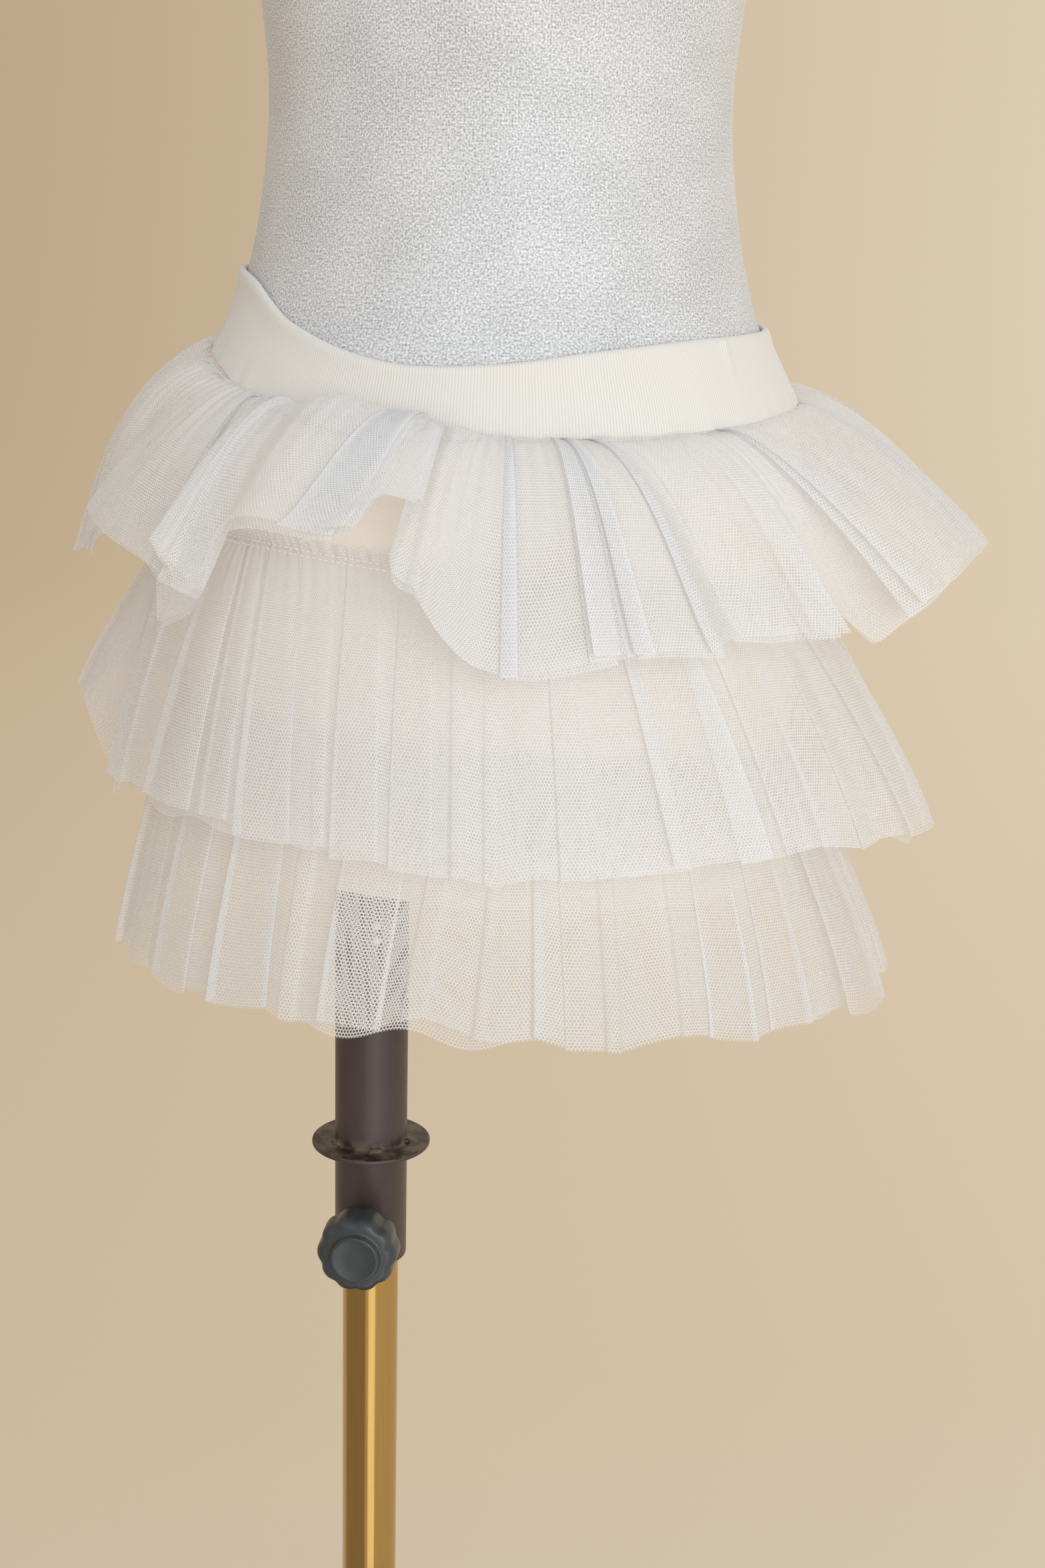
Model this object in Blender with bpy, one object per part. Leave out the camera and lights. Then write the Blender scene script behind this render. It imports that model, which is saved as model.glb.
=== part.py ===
"""A gathered tulle skirt of three tiers, worn by a child's limbless dress form on a pole stand.

Metres, +Z up, -Y is the front. The origin is on the floor, on the axis of the pole, which enters the
form to the left of its middle. Angles round the body run from the front towards +X, in degrees.
"""

import math
import random

import bmesh
import bpy
from mathutils import Matrix, Vector

# Clearances
SEAT_GAP = 0.0003  # between pieces that touch
SKIN_GAP = 0.0008  # between the form and the cloth that lies on it
SEWN_GAP = 0.0005  # between a tier and the cloth that it is sewn to

# Form: a row for each section, the sections being ellipses
FORM_X = 0.0495
FORM = (
    # height, half_width, half_depth, forward
    (0.505, 0.0960, 0.0760, 0.004),
    (0.509, 0.1010, 0.0810, 0.004),
    (0.526, 0.1085, 0.0870, 0.005),
    (0.560, 0.1185, 0.0945, 0.006),
    (0.600, 0.1240, 0.0985, 0.006),
    (0.640, 0.1235, 0.0980, 0.006),
    (0.663, 0.1192, 0.0945, 0.005),
    (0.677, 0.1128, 0.0905, 0.005),
    (0.692, 0.1055, 0.0865, 0.004),
    (0.709, 0.1003, 0.0832, 0.003),
    (0.736, 0.0949, 0.0800, 0.002),
    (0.776, 0.0914, 0.0780, 0.001),
    (0.815, 0.0943, 0.0795, 0.002),
    (0.860, 0.0990, 0.0835, 0.003),
    (0.910, 0.1045, 0.0870, 0.003),
    (0.955, 0.1090, 0.0840, 0.001),
    (0.985, 0.1105, 0.0750, 0.000),
    (1.006, 0.1040, 0.0640, -0.001),
    (1.022, 0.0800, 0.0540, -0.002),
    (1.033, 0.0560, 0.0460, -0.002),
    (1.043, 0.0415, 0.0390, -0.001),
    (1.056, 0.0365, 0.0355, 0.000),
    (1.070, 0.0355, 0.0350, 0.000),
    (1.073, 0.0325, 0.0320, 0.000),
)
FORM_COLUMNS = 36
HANG_HEIGHT = 0.615  # below this the cloth hangs straight down from the hips

# Waistband: a doubled rib-knit tube, higher at the sides and highest at the left back
BAND = (
    # angle, top, bottom
    (-180, 0.707, 0.674),
    (-135, 0.713, 0.681),
    (-90, 0.712, 0.682),
    (-65, 0.7075, 0.6745),
    (-45, 0.6925, 0.6620),
    (-20, 0.6803, 0.6530),
    (0, 0.6805, 0.6540),
    (20, 0.6855, 0.6537),
    (45, 0.6897, 0.6565),
    (90, 0.6925, 0.6630),
    (135, 0.6990, 0.6670),
)
BAND_WALL = 0.0020
BAND_COLUMNS = 60
BAND_ROWS = 4
BAND_ROLL = 0.0006  # how far the folded top edge stands proud

# Lining: a single knit tube from the waistband's seam to just under the form
LINING_WALL = 0.0012
LINING_DROP = 0.0006  # from the waistband's lower edge, where both walls slope
LINING_HEM = 0.4765
LINING_TILT = 0.006  # the hem is this much higher at the left and lower at the right
LINING_STEPS = (0.0, 0.05, 0.11, 0.20, 0.38, 1.0)  # closer together over the curve of the hips

# Tiers: gathered strips of tulle, each sewn on by its top edge
TULLE_WALL = 0.0010
PLEATS = 38  # in each tier
PLEAT_COLUMNS = 4
PLEAT_WIDTHS = (0.65, 1.35)  # narrowest and widest, as shares of an even one
PLEAT_LIFTS = (0.5, 1.3)  # lowest and highest crest or trough, as shares of the tier's pleat_depth
PLEAT_LEAN = 0.06  # how unevenly a pleat's columns lie, as a share of its width
PLEAT_GROWTH = 0.8  # pleats deepen with this power of the way down
FALL_OUT = 0.25  # where the lower part of a tier hangs from, as shares of its spread and drop
FALL_UP = 0.40
TIER_STEPS = (0.0, 0.16, 0.42, 0.72, 1.0)  # rows down a tier, as shares of its profile
TIER_TOP = (
    # angle, seam, spread, hem
    (-180, 0.6725, 0.056, 0.606),
    (-135, 0.6795, 0.050, 0.614),
    (-90, 0.6805, 0.036, 0.616),
    (-62, 0.6715, 0.041, 0.620),
    (-49, 0.6630, 0.041, 0.589),
    (-30, 0.6545, 0.036, 0.613),
    (-15, 0.6510, 0.036, 0.617),
    (0, 0.6525, 0.036, 0.574),
    (20, 0.6522, 0.037, 0.571),
    (44, 0.6550, 0.042, 0.576),
    (65, 0.6585, 0.050, 0.578),
    (90, 0.6615, 0.076, 0.604),
    (115, 0.6635, 0.072, 0.606),
    (140, 0.6660, 0.062, 0.603),
)
TIER_MIDDLE = (
    # angle, seam, spread, hem
    (-180, 0.6050, 0.048, 0.498),
    (-145, 0.6110, 0.054, 0.512),
    (-112, 0.6135, 0.052, 0.528),
    (-88, 0.6135, 0.034, 0.503),
    (-66, 0.6125, 0.029, 0.502),
    (-45, 0.6118, 0.030, 0.500),
    (-22, 0.6080, 0.034, 0.507),
    (0, 0.6030, 0.038, 0.496),
    (22, 0.5990, 0.038, 0.498),
    (45, 0.5955, 0.044, 0.498),
    (65, 0.5945, 0.051, 0.492),
    (90, 0.5940, 0.058, 0.486),
    (130, 0.5975, 0.052, 0.490),
)
TIER_BOTTOM = (
    # angle, seam, spread, hem
    (-180, 0.5330, 0.046, 0.430),
    (-125, 0.5420, 0.037, 0.437),
    (-90, 0.5450, 0.027, 0.436),
    (-66, 0.5440, 0.027, 0.434),
    (-42, 0.5410, 0.031, 0.434),
    (-20, 0.5375, 0.037, 0.437),
    (0, 0.5340, 0.040, 0.435),
    (20, 0.5300, 0.040, 0.434),
    (45, 0.5255, 0.041, 0.434),
    (70, 0.5225, 0.043, 0.425),
    (90, 0.5220, 0.044, 0.427),
    (130, 0.5250, 0.044, 0.426),
)
TIERS = (
    # name, table, sewn_below_band, puff_out, puff_up, pleat_depth, seed
    ("tulle_tier_top", TIER_TOP, True, 0.024, 0.013, 0.0060, 3),
    ("tulle_tier_middle", TIER_MIDDLE, False, 0.012, 0.002, 0.0062, 5),
    ("tulle_tier_bottom", TIER_BOTTOM, False, 0.012, 0.002, 0.0062, 8),
)

# Stand: a pole in a round base, and the form's sleeve that slides on it and is held by a clamp screw
ROUND_SIDES = 32
BASE_SIDES = 48
POLE_RADIUS = 0.0125
POLE_WALL = 0.0012
POLE_TOP = 0.470
SLEEVE_RADIUS = 0.0160
SLEEVE_BOTTOM = 0.2785
SLEEVE_TOP = 0.560
SLEEVE_ROOF = 0.003
SLEEVE_EDGE = 0.0012
DISC_RADIUS = 0.0262
DISC_THICKNESS = 0.0022
DISC_HEIGHT = 0.3331
BASE_RADIUS = 0.140
BASE_THICKNESS = 0.008
BASE_EDGE = 0.0015
SOCKET_RADIUS = 0.0180
SOCKET_TOP = 0.034
SOCKET_FLOOR = 0.005

# Clamp screw: a lobed knob on a stud that bears on the pole through the sleeve
KNOB_TURN = -5.5  # degrees from the front
KNOB_HEIGHT = 0.2950
KNOB_RADIUS = 0.0177
KNOB_BACK = 0.0240  # from the pole's axis
KNOB_LENGTH = 0.0160
KNOB_FACE_RADIUS = 0.0105
KNOB_FACE_LENGTH = 0.0030
KNOB_LOBES = 10
LOBE_DEPTH = 0.06  # share of the radius
KNOB_BEVEL = 0.0015
KNOB_DRAFT = 0.0004
KNOB_SIDES = 40
STUD_RADIUS = 0.0040
BOSS_RADIUS = 0.0085
BOSS_ROOT = 0.0144  # inside the sleeve's wall
BOSS_END = 0.0225
CUT_PAST = 0.005  # how far a cutter runs past what it cuts


def clear_scene():
    for item in list(bpy.data.objects):
        bpy.data.objects.remove(item, do_unlink=True)


def material(name, colour, roughness, metallic=0.0):
    made = bpy.data.materials.new(name)
    made.use_nodes = True
    shader = made.node_tree.nodes["Principled BSDF"]
    shader.inputs["Base Color"].default_value = (*colour, 1.0)
    shader.inputs["Roughness"].default_value = roughness
    shader.inputs["Metallic"].default_value = metallic
    made.diffuse_color = (*colour, 1.0)
    return made


def add_object(name, mesh, finish):
    item = bpy.data.objects.new(name, mesh)
    mesh.materials.append(finish)
    bpy.context.collection.objects.link(item)
    return item


def row_at(table, key, turns=False):
    """The other columns of a table at one key, on a smooth curve through the rows; turns joins its ends."""
    rows = list(table)
    if turns:
        key = (key + 180.0) % 360.0 - 180.0
        before = [(row[0] - 360.0, *row[1:]) for row in table[-2:]]
        after = [(row[0] + 360.0, *row[1:]) for row in table[:2]]
        rows = before + rows + after
    low = 0
    while low < len(rows) - 2 and rows[low + 1][0] <= key:
        low += 1
    start, end = rows[low], rows[low + 1]
    previous, following = rows[max(low - 1, 0)], rows[min(low + 2, len(rows) - 1)]
    span = end[0] - start[0]
    t = min(max((key - start[0]) / span, 0.0), 1.0)
    values = []
    for column in range(1, len(start)):
        slope_in = (end[column] - previous[column]) / (end[0] - previous[0]) * span
        slope_out = (following[column] - start[column]) / (following[0] - start[0]) * span
        rise = end[column] - start[column]
        values.append(
            start[column]
            + t * slope_in
            + t * t * (3 * rise - 2 * slope_in - slope_out)
            + t**3 * (slope_in + slope_out - 2 * rise)
        )
    return values


def body_point(angle, height, out, section_height=None):
    """A point at an angle round the form, moved out level along the normal of the section's ellipse."""
    half_width, half_depth, forward = row_at(FORM, height if section_height is None else section_height)
    sine, cosine = math.sin(math.radians(angle)), math.cos(math.radians(angle))
    normal = Vector((half_depth * sine, -half_width * cosine, 0.0)).normalized()
    return Vector((FORM_X + half_width * sine, -forward - half_depth * cosine, height)) + out * normal


def cloth_point(angle, height, out):
    """The same for cloth, which hangs straight below the hips."""
    return body_point(angle, height, out, max(height, HANG_HEIGHT))


def even_angles(columns):
    return [-180.0 + 360.0 * column / columns for column in range(columns)]


def add_rings(mesh, rings):
    """Rings of points joined by quads, with the rings going down and each going round from above."""
    rows = [[mesh.verts.new(point) for point in ring] for ring in rings]
    count = len(rows[0])
    for upper, lower in zip(rows, rows[1:]):
        for column in range(count):
            after = (column + 1) % count
            mesh.faces.new((upper[column], lower[column], lower[after], upper[after]))
    return rows


def finish_mesh(name, mesh):
    bmesh.ops.recalc_face_normals(mesh, faces=mesh.faces)
    data = bpy.data.meshes.new(name)
    mesh.to_mesh(data)
    mesh.free()
    data.shade_smooth()
    data.set_sharp_from_angle(angle=math.radians(40))
    return data


def cloth_tube(name, rings, wall, finish):
    """A wall of even thickness about rings of points, which run from the top edge to the hem."""
    mesh = bmesh.new()
    add_rings(mesh, rings)
    data = bpy.data.meshes.new(name)
    mesh.to_mesh(data)
    mesh.free()
    data.shade_smooth()
    item = add_object(name, data, finish)
    thicken = item.modifiers.new("wall", "SOLIDIFY")
    thicken.thickness = wall
    thicken.offset = 0.0
    thicken.use_even_offset = True
    thicken.use_quality_normals = True
    return item


def turned(name, profile, finish, sides=ROUND_SIDES):
    """A solid turned about Z from (radius, height) points, from its top to its foot; radius 0 closes it."""
    mesh = bmesh.new()
    rings = []
    for radius, height in profile:
        if radius == 0.0:
            rings.append([mesh.verts.new((0.0, 0.0, height))])
            continue
        turn = [2 * math.pi * side / sides for side in range(sides)]
        rings.append([mesh.verts.new((radius * math.sin(a), -radius * math.cos(a), height)) for a in turn])
    for upper, lower in zip(rings, rings[1:] + rings[:1]):
        for side in range(sides):
            after = (side + 1) % sides
            if len(upper) == 1 and len(lower) == 1:
                break
            if len(upper) == 1:
                mesh.faces.new((upper[0], lower[side], lower[after]))
            elif len(lower) == 1:
                mesh.faces.new((upper[side], lower[0], upper[after]))
            else:
                mesh.faces.new((upper[side], lower[side], lower[after], upper[after]))
    return add_object(name, finish_mesh(name, mesh), finish)


def rod_profile(radius, top, foot):
    return ((0.0, top), (radius, top), (radius, foot), (0.0, foot))


def combine(item, other, operation):
    """Join or cut one object with another, which stays in the scene as a guide only."""
    change = item.modifiers.new(operation.lower(), "BOOLEAN")
    change.operation = operation
    change.solver = "EXACT"
    change.object = other
    other.hide_render = True
    other.display_type = "WIRE"


def make_form(finish):
    mesh = bmesh.new()
    rings = [[body_point(angle, row[0], 0.0) for angle in even_angles(FORM_COLUMNS)] for row in reversed(FORM)]
    rows = add_rings(mesh, rings)
    mesh.faces.new(rows[0])
    mesh.faces.new(rows[-1])
    form = add_object("dress_form", finish_mesh("dress_form", mesh), finish)
    bore = rod_profile(SLEEVE_RADIUS + SEAT_GAP, SLEEVE_TOP + SEAT_GAP, FORM[0][0] - CUT_PAST)
    combine(form, turned("form_bore", bore, finish), "DIFFERENCE")


def make_waistband(finish):
    middle = SKIN_GAP + BAND_WALL / 2
    rings = []
    for row in range(BAND_ROWS):
        share = row / (BAND_ROWS - 1)
        roll = BAND_ROLL if row == 0 else 0.0
        ring = []
        for angle in even_angles(BAND_COLUMNS):
            top, bottom = row_at(BAND, angle, turns=True)
            ring.append(cloth_point(angle, top + (bottom - top) * share, middle + roll))
        rings.append(ring)
    cloth_tube("waistband", rings, BAND_WALL, finish)


def make_lining(finish):
    middle = SKIN_GAP + LINING_WALL / 2
    rings = []
    for share in LINING_STEPS:
        ring = []
        for angle in even_angles(BAND_COLUMNS):
            band_bottom = row_at(BAND, angle, turns=True)[1]
            top = band_bottom - LINING_DROP
            hem = LINING_HEM - LINING_TILT * math.sin(math.radians(angle))
            ring.append(cloth_point(angle, top + (hem - top) * share, middle))
        rings.append(ring)
    cloth_tube("lining", rings, LINING_WALL, finish)


def pleat_columns(seed):
    """Angles round a tier, and the lift of the cloth at each: uneven pleats, each with a crest and a trough."""
    chance = random.Random(seed)
    widths = [chance.uniform(*PLEAT_WIDTHS) for _ in range(PLEATS)]
    turn = 360.0 / sum(widths)
    start = -180.0
    columns = []
    for width in widths:
        lifts = (0.0, chance.uniform(*PLEAT_LIFTS), 0.0, -chance.uniform(*PLEAT_LIFTS))
        for column, lift in enumerate(lifts):
            lean = chance.uniform(-PLEAT_LEAN, PLEAT_LEAN)
            columns.append((start + (column / PLEAT_COLUMNS + lean) * width * turn, lift))
        start += width * turn
    return columns


def tier_profile(seam, spread, hem, sewn, puff_out, puff_up, share):
    """Out and height on a tier's profile, and its level and upright normal, from the seam to the hem."""
    ends = (Vector((sewn, seam)), Vector((sewn + spread, hem)))
    puff = ends[0] + Vector((puff_out, puff_up))
    fall = ends[1] + Vector((-FALL_OUT * spread, FALL_UP * (seam - hem)))
    points = (ends[0], puff, fall, ends[1])
    rest = 1.0 - share
    weights = (rest**3, 3 * rest**2 * share, 3 * rest * share**2, share**3)
    place = sum((weight * point for weight, point in zip(weights, points)), Vector((0.0, 0.0)))
    heading = Vector((0.0, 0.0))
    for weight, start, end in zip((rest**2, 2 * rest * share, share**2), points, points[1:]):
        heading += weight * (end - start)
    heading.normalize()
    return place, Vector((-heading.y, heading.x))


def make_tier(name, table, sewn_below_band, puff_out, puff_up, pleat_depth, seed, finish):
    sewn = SKIN_GAP + LINING_WALL + SEWN_GAP + TULLE_WALL / 2
    if sewn_below_band:
        sewn = SKIN_GAP + BAND_WALL + SEAT_GAP
    columns = pleat_columns(seed)
    rings = []
    for share in TIER_STEPS:
        ring = []
        for angle, lift in columns:
            seam, spread, hem = row_at(table, angle, turns=True)
            place, normal = tier_profile(seam, spread, hem, sewn, puff_out, puff_up, share)
            place += normal * lift * pleat_depth * share**PLEAT_GROWTH
            ring.append(cloth_point(angle, place.y, place.x))
        rings.append(ring)
    cloth_tube(name, rings, TULLE_WALL, finish)


def make_pole(finish):
    inner = POLE_RADIUS - POLE_WALL
    foot = SOCKET_FLOOR + SEAT_GAP
    turned("pole", ((inner, POLE_TOP), (POLE_RADIUS, POLE_TOP), (POLE_RADIUS, foot), (inner, foot)), finish)


def make_base(finish):
    bore = POLE_RADIUS + SEAT_GAP
    profile = (
        (bore, SOCKET_TOP),
        (SOCKET_RADIUS, SOCKET_TOP),
        (SOCKET_RADIUS, BASE_THICKNESS),
        (BASE_RADIUS - BASE_EDGE, BASE_THICKNESS),
        (BASE_RADIUS, BASE_THICKNESS - BASE_EDGE),
        (BASE_RADIUS, BASE_EDGE),
        (BASE_RADIUS - BASE_EDGE, 0.0),
        (0.0, 0.0),
        (0.0, SOCKET_FLOOR),
        (bore, SOCKET_FLOOR),
    )
    turned("base", profile, finish, sides=BASE_SIDES)


def knob_frame():
    """Turns a shape built along +Z from the pole's axis to the clamp screw's direction."""
    raised = Matrix.Translation((0, 0, KNOB_HEIGHT))
    turn = Matrix.Rotation(math.radians(KNOB_TURN), 4, "Z")
    tip_forward = Matrix.Rotation(math.radians(90), 4, "X")
    return raised @ turn @ tip_forward


def make_sleeve(finish):
    bore = POLE_RADIUS + SEAT_GAP
    disc_top = DISC_HEIGHT + DISC_THICKNESS / 2
    disc_foot = DISC_HEIGHT - DISC_THICKNESS / 2
    profile = (
        (0.0, SLEEVE_TOP),
        (SLEEVE_RADIUS, SLEEVE_TOP),
        (SLEEVE_RADIUS, disc_top),
        (DISC_RADIUS, disc_top),
        (DISC_RADIUS, disc_foot),
        (SLEEVE_RADIUS, disc_foot),
        (SLEEVE_RADIUS, SLEEVE_BOTTOM + SLEEVE_EDGE),
        (SLEEVE_RADIUS - SLEEVE_EDGE, SLEEVE_BOTTOM),
        (bore, SLEEVE_BOTTOM),
        (bore, SLEEVE_TOP - SLEEVE_ROOF),
        (0.0, SLEEVE_TOP - SLEEVE_ROOF),
    )
    sleeve = turned("sleeve", profile, finish)
    boss = turned("sleeve_boss", rod_profile(BOSS_RADIUS, BOSS_END, BOSS_ROOT), finish)
    hole = rod_profile(STUD_RADIUS + SEAT_GAP, BOSS_END + CUT_PAST, POLE_RADIUS - STUD_RADIUS)
    tap = turned("stud_hole", hole, finish, sides=KNOB_SIDES)
    for item, operation in ((boss, "UNION"), (tap, "DIFFERENCE")):
        item.matrix_world = knob_frame()
        combine(sleeve, item, operation)


def make_knob(finish):
    """Rings along the screw, from the front of the cap to the stud's tip."""
    back, front = KNOB_BACK, KNOB_BACK + KNOB_LENGTH
    face = front + KNOB_FACE_LENGTH
    tip = POLE_RADIUS + SEAT_GAP
    sections = (
        # radius, distance, lobed
        (KNOB_FACE_RADIUS - KNOB_BEVEL, face, 0.0),
        (KNOB_FACE_RADIUS, face - KNOB_BEVEL, 0.0),
        (KNOB_FACE_RADIUS + KNOB_DRAFT, front, 0.0),
        (KNOB_RADIUS - 2 * KNOB_BEVEL, front - KNOB_DRAFT, 0.6),
        (KNOB_RADIUS, front - 2 * KNOB_BEVEL, 1.0),
        (KNOB_RADIUS, back + KNOB_BEVEL, 1.0),
        (KNOB_RADIUS - KNOB_BEVEL, back, 0.8),
        (STUD_RADIUS, back, 0.0),
        (STUD_RADIUS, tip, 0.0),
    )
    mesh = bmesh.new()
    rings = []
    for radius, distance, lobed in sections:
        ring = []
        for side in range(KNOB_SIDES):
            turn = 2 * math.pi * side / KNOB_SIDES
            dip = lobed * LOBE_DEPTH * (0.5 - 0.5 * math.cos(KNOB_LOBES * turn))
            reach = radius * (1.0 - dip)
            ring.append((reach * math.sin(turn), -reach * math.cos(turn), distance))
        rings.append(ring)
    rows = add_rings(mesh, rings)
    mesh.faces.new(rows[0])
    mesh.faces.new(rows[-1])
    knob = add_object("clamp_knob", finish_mesh("clamp_knob", mesh), finish)
    knob.matrix_world = knob_frame()


clear_scene()
velvet = material("silver_velvet_knit", (0.62, 0.63, 0.65), 0.45)
rib_knit = material("cream_rib_knit", (0.86, 0.82, 0.74), 0.85)
lining_knit = material("cream_lining_knit", (0.86, 0.80, 0.64), 0.85)
tulle = material("ivory_tulle", (0.80, 0.78, 0.74), 0.7)
dark_paint = material("brown_painted_steel", (0.06, 0.045, 0.04), 0.4)
plated_tube = material("brass_plated_tube", (0.52, 0.33, 0.10), 0.28, metallic=1.0)
black_plastic = material("black_moulded_plastic", (0.022, 0.025, 0.028), 0.4)

make_form(velvet)
make_waistband(rib_knit)
make_lining(lining_knit)
for tier in TIERS:
    make_tier(*tier, tulle)
make_base(dark_paint)
make_pole(plated_tube)
make_sleeve(dark_paint)
make_knob(black_plastic)
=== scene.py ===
"""A child's tiered tulle skirt on a limbless dress form with a pole stand, in metres, +Z up, front to -Y."""

import math
import random

import bmesh
import bpy
import numpy as np
from mathutils import Matrix, Vector


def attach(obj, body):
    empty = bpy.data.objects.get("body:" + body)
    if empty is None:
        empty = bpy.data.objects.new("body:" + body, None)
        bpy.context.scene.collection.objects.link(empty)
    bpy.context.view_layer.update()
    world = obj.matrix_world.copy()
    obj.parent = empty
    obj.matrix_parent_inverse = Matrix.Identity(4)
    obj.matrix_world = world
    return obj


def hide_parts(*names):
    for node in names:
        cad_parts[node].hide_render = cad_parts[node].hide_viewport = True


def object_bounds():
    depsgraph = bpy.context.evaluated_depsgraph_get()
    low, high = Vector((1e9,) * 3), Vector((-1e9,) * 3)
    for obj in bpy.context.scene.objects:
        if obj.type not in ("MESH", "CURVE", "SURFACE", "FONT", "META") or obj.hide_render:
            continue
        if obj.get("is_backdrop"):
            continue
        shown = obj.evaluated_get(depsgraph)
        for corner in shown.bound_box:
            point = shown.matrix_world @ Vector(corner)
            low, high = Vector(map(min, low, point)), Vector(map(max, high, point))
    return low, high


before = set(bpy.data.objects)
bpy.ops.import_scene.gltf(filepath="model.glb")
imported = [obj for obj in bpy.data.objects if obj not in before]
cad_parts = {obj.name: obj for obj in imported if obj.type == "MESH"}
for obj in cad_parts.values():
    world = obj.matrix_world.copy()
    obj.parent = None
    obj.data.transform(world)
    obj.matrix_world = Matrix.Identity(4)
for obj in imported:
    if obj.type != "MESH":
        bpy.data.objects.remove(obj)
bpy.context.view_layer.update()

# --- Camera -----------------------------------------------------------------------------------------
# A normal lens 0.9 m in front of the skirt and a little above it, looking down at it.
CAMERA_PLACE = Vector((0.064, -0.902, 0.730))
CAMERA_PITCH = 14.4  # degrees below level
CAMERA_ROLL = 1.3
CAMERA_LENS = 50.0  # mm
CAMERA_SENSOR = 36.0

tilt = Matrix.Rotation(math.radians(90 - CAMERA_PITCH), 4, "X")
roll = Matrix.Rotation(math.radians(CAMERA_ROLL), 4, "Z")
camera_data = bpy.data.cameras.new("camera")
camera_data.lens = CAMERA_LENS
camera_data.sensor_width = CAMERA_SENSOR
camera_data.clip_start = 0.05
camera_data.clip_end = 40.0
camera = bpy.data.objects.new("camera", camera_data)
camera.matrix_world = Matrix.Translation(CAMERA_PLACE) @ tilt @ roll
bpy.context.scene.collection.objects.link(camera)
bpy.context.scene.camera = camera
bpy.context.scene.view_settings.view_transform = "Standard"
bpy.context.scene.cycles.transparent_max_bounces = 128  # a path of light crosses many layers of net
bpy.context.scene.cycles.max_bounces = 12
bpy.context.scene.cycles.diffuse_bounces = 8  # light passes on between many white layers


# --- Studio -----------------------------------------------------------------------------------------
# A warm beige paper sweep, laid as a floor that curves up into a round wall far behind the stand.
# It is matt and seamless, and gives a little light of its own so that it never falls to grey; that glow
# holds painted light and shade: in front it is white on the lit side and painted into shade on the other.
def linear(code):
    """An sRGB hex colour as linear red, green, blue and 1."""
    parts = [int(code[i : i + 2], 16) / 255 for i in (1, 3, 5)]
    return (*(p / 12.92 if p <= 0.04045 else ((p + 0.055) / 1.055) ** 2.4 for p in parts), 1.0)


def node(tree, kind, inputs=(), **settings):
    """A node with its settings; inputs gives values or other nodes' outputs for its sockets."""
    made = tree.nodes.new(kind)
    for key, value in settings.items():
        setattr(made, key, value)
    for key, value in dict(inputs).items():
        if isinstance(value, bpy.types.NodeSocket):
            tree.links.new(value, made.inputs[key])
        else:
            made.inputs[key].default_value = value
    return made


def finish(name, **values):
    """A material's node tree and its shader, with the values that are the same all over it."""
    made = bpy.data.materials.new(name)
    made.use_nodes = True
    shader = made.node_tree.nodes["Principled BSDF"]
    for key, value in values.items():
        shader.inputs[key.replace("_", " ")].default_value = value
    return made, made.node_tree, shader


def add_piece(name, points, faces, material, across=None):
    """A smooth mesh object from points and faces, with its own UV in metres where across gives it."""
    mesh = bpy.data.meshes.new(name)
    mesh.from_pydata([tuple(p) for p in points], [], [tuple(int(i) for i in f) for f in faces])
    mesh.materials.append(material)
    mesh.shade_smooth()
    if across is not None:
        layer = mesh.uv_layers.new(name="cloth")
        loops = np.zeros(len(mesh.loops), int)
        mesh.loops.foreach_get("vertex_index", loops)
        layer.data.foreach_set("uv", np.asarray(across, float)[loops].ravel())
    made = bpy.data.objects.new(name, mesh)
    bpy.context.scene.collection.objects.link(made)
    return made


def grid_faces(rows, columns, closed):
    """Quads between rows of points; closed joins each row's ends."""
    steps = columns if closed else columns - 1
    row, column = np.meshgrid(np.arange(rows - 1), np.arange(steps), indexing="ij")
    this, below, after = row * columns, (row + 1) * columns, (column + 1) % columns
    corners = (this + column, below + column, below + after, this + after)
    return np.stack([c.ravel() for c in corners], -1)


SWEEP_FLOOR = 3.4  # radius of the flat part
SWEEP_BEND = 1.2
SWEEP_HEIGHT = 4.2
SWEEP_SIDES = 96

paper, tree, shader = finish("matt_paper_sweep", Roughness=0.9, Emission_Strength=0.80)
place = node(tree, "ShaderNodeTexCoord")
axes = node(tree, "ShaderNodeSeparateXYZ", {0: place.outputs["Object"]})
# The far paper's glow is painted a deeper beige on the left and a paler one on the right, as light falling
# off.
side = node(tree, "ShaderNodeMapRange", {0: axes.outputs[0], 1: -1.6, 2: 1.4})
beige = node(tree, "ShaderNodeMix", {0: side.outputs[0], 6: linear("#B8A182"), 7: linear("#DECFB6")},
             data_type="RGBA")
nearer = node(tree, "ShaderNodeMapRange", {0: axes.outputs[1], 1: 0.4, 2: -3.2})
# in front, painted shade darkens the glow on the left, away from the key light
shaded = node(tree, "ShaderNodeMapRange", {0: axes.outputs[0], 1: 1.5, 2: -2.0})
front = node(tree, "ShaderNodeMix", {0: shaded.outputs[0], 6: linear("#E2E2E2"), 7: linear("#CECCC9")},
             data_type="RGBA")
tone = node(tree, "ShaderNodeMix", {0: nearer.outputs[0], 6: beige.outputs[2], 7: front.outputs[2]},
            data_type="RGBA")
deep = node(tree, "ShaderNodeMix", {0: 0.75, 6: tone.outputs[2], 7: linear("#000000")}, data_type="RGBA")
tree.links.new(deep.outputs[2], shader.inputs["Base Color"])
tree.links.new(tone.outputs[2], shader.inputs["Emission Color"])

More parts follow.
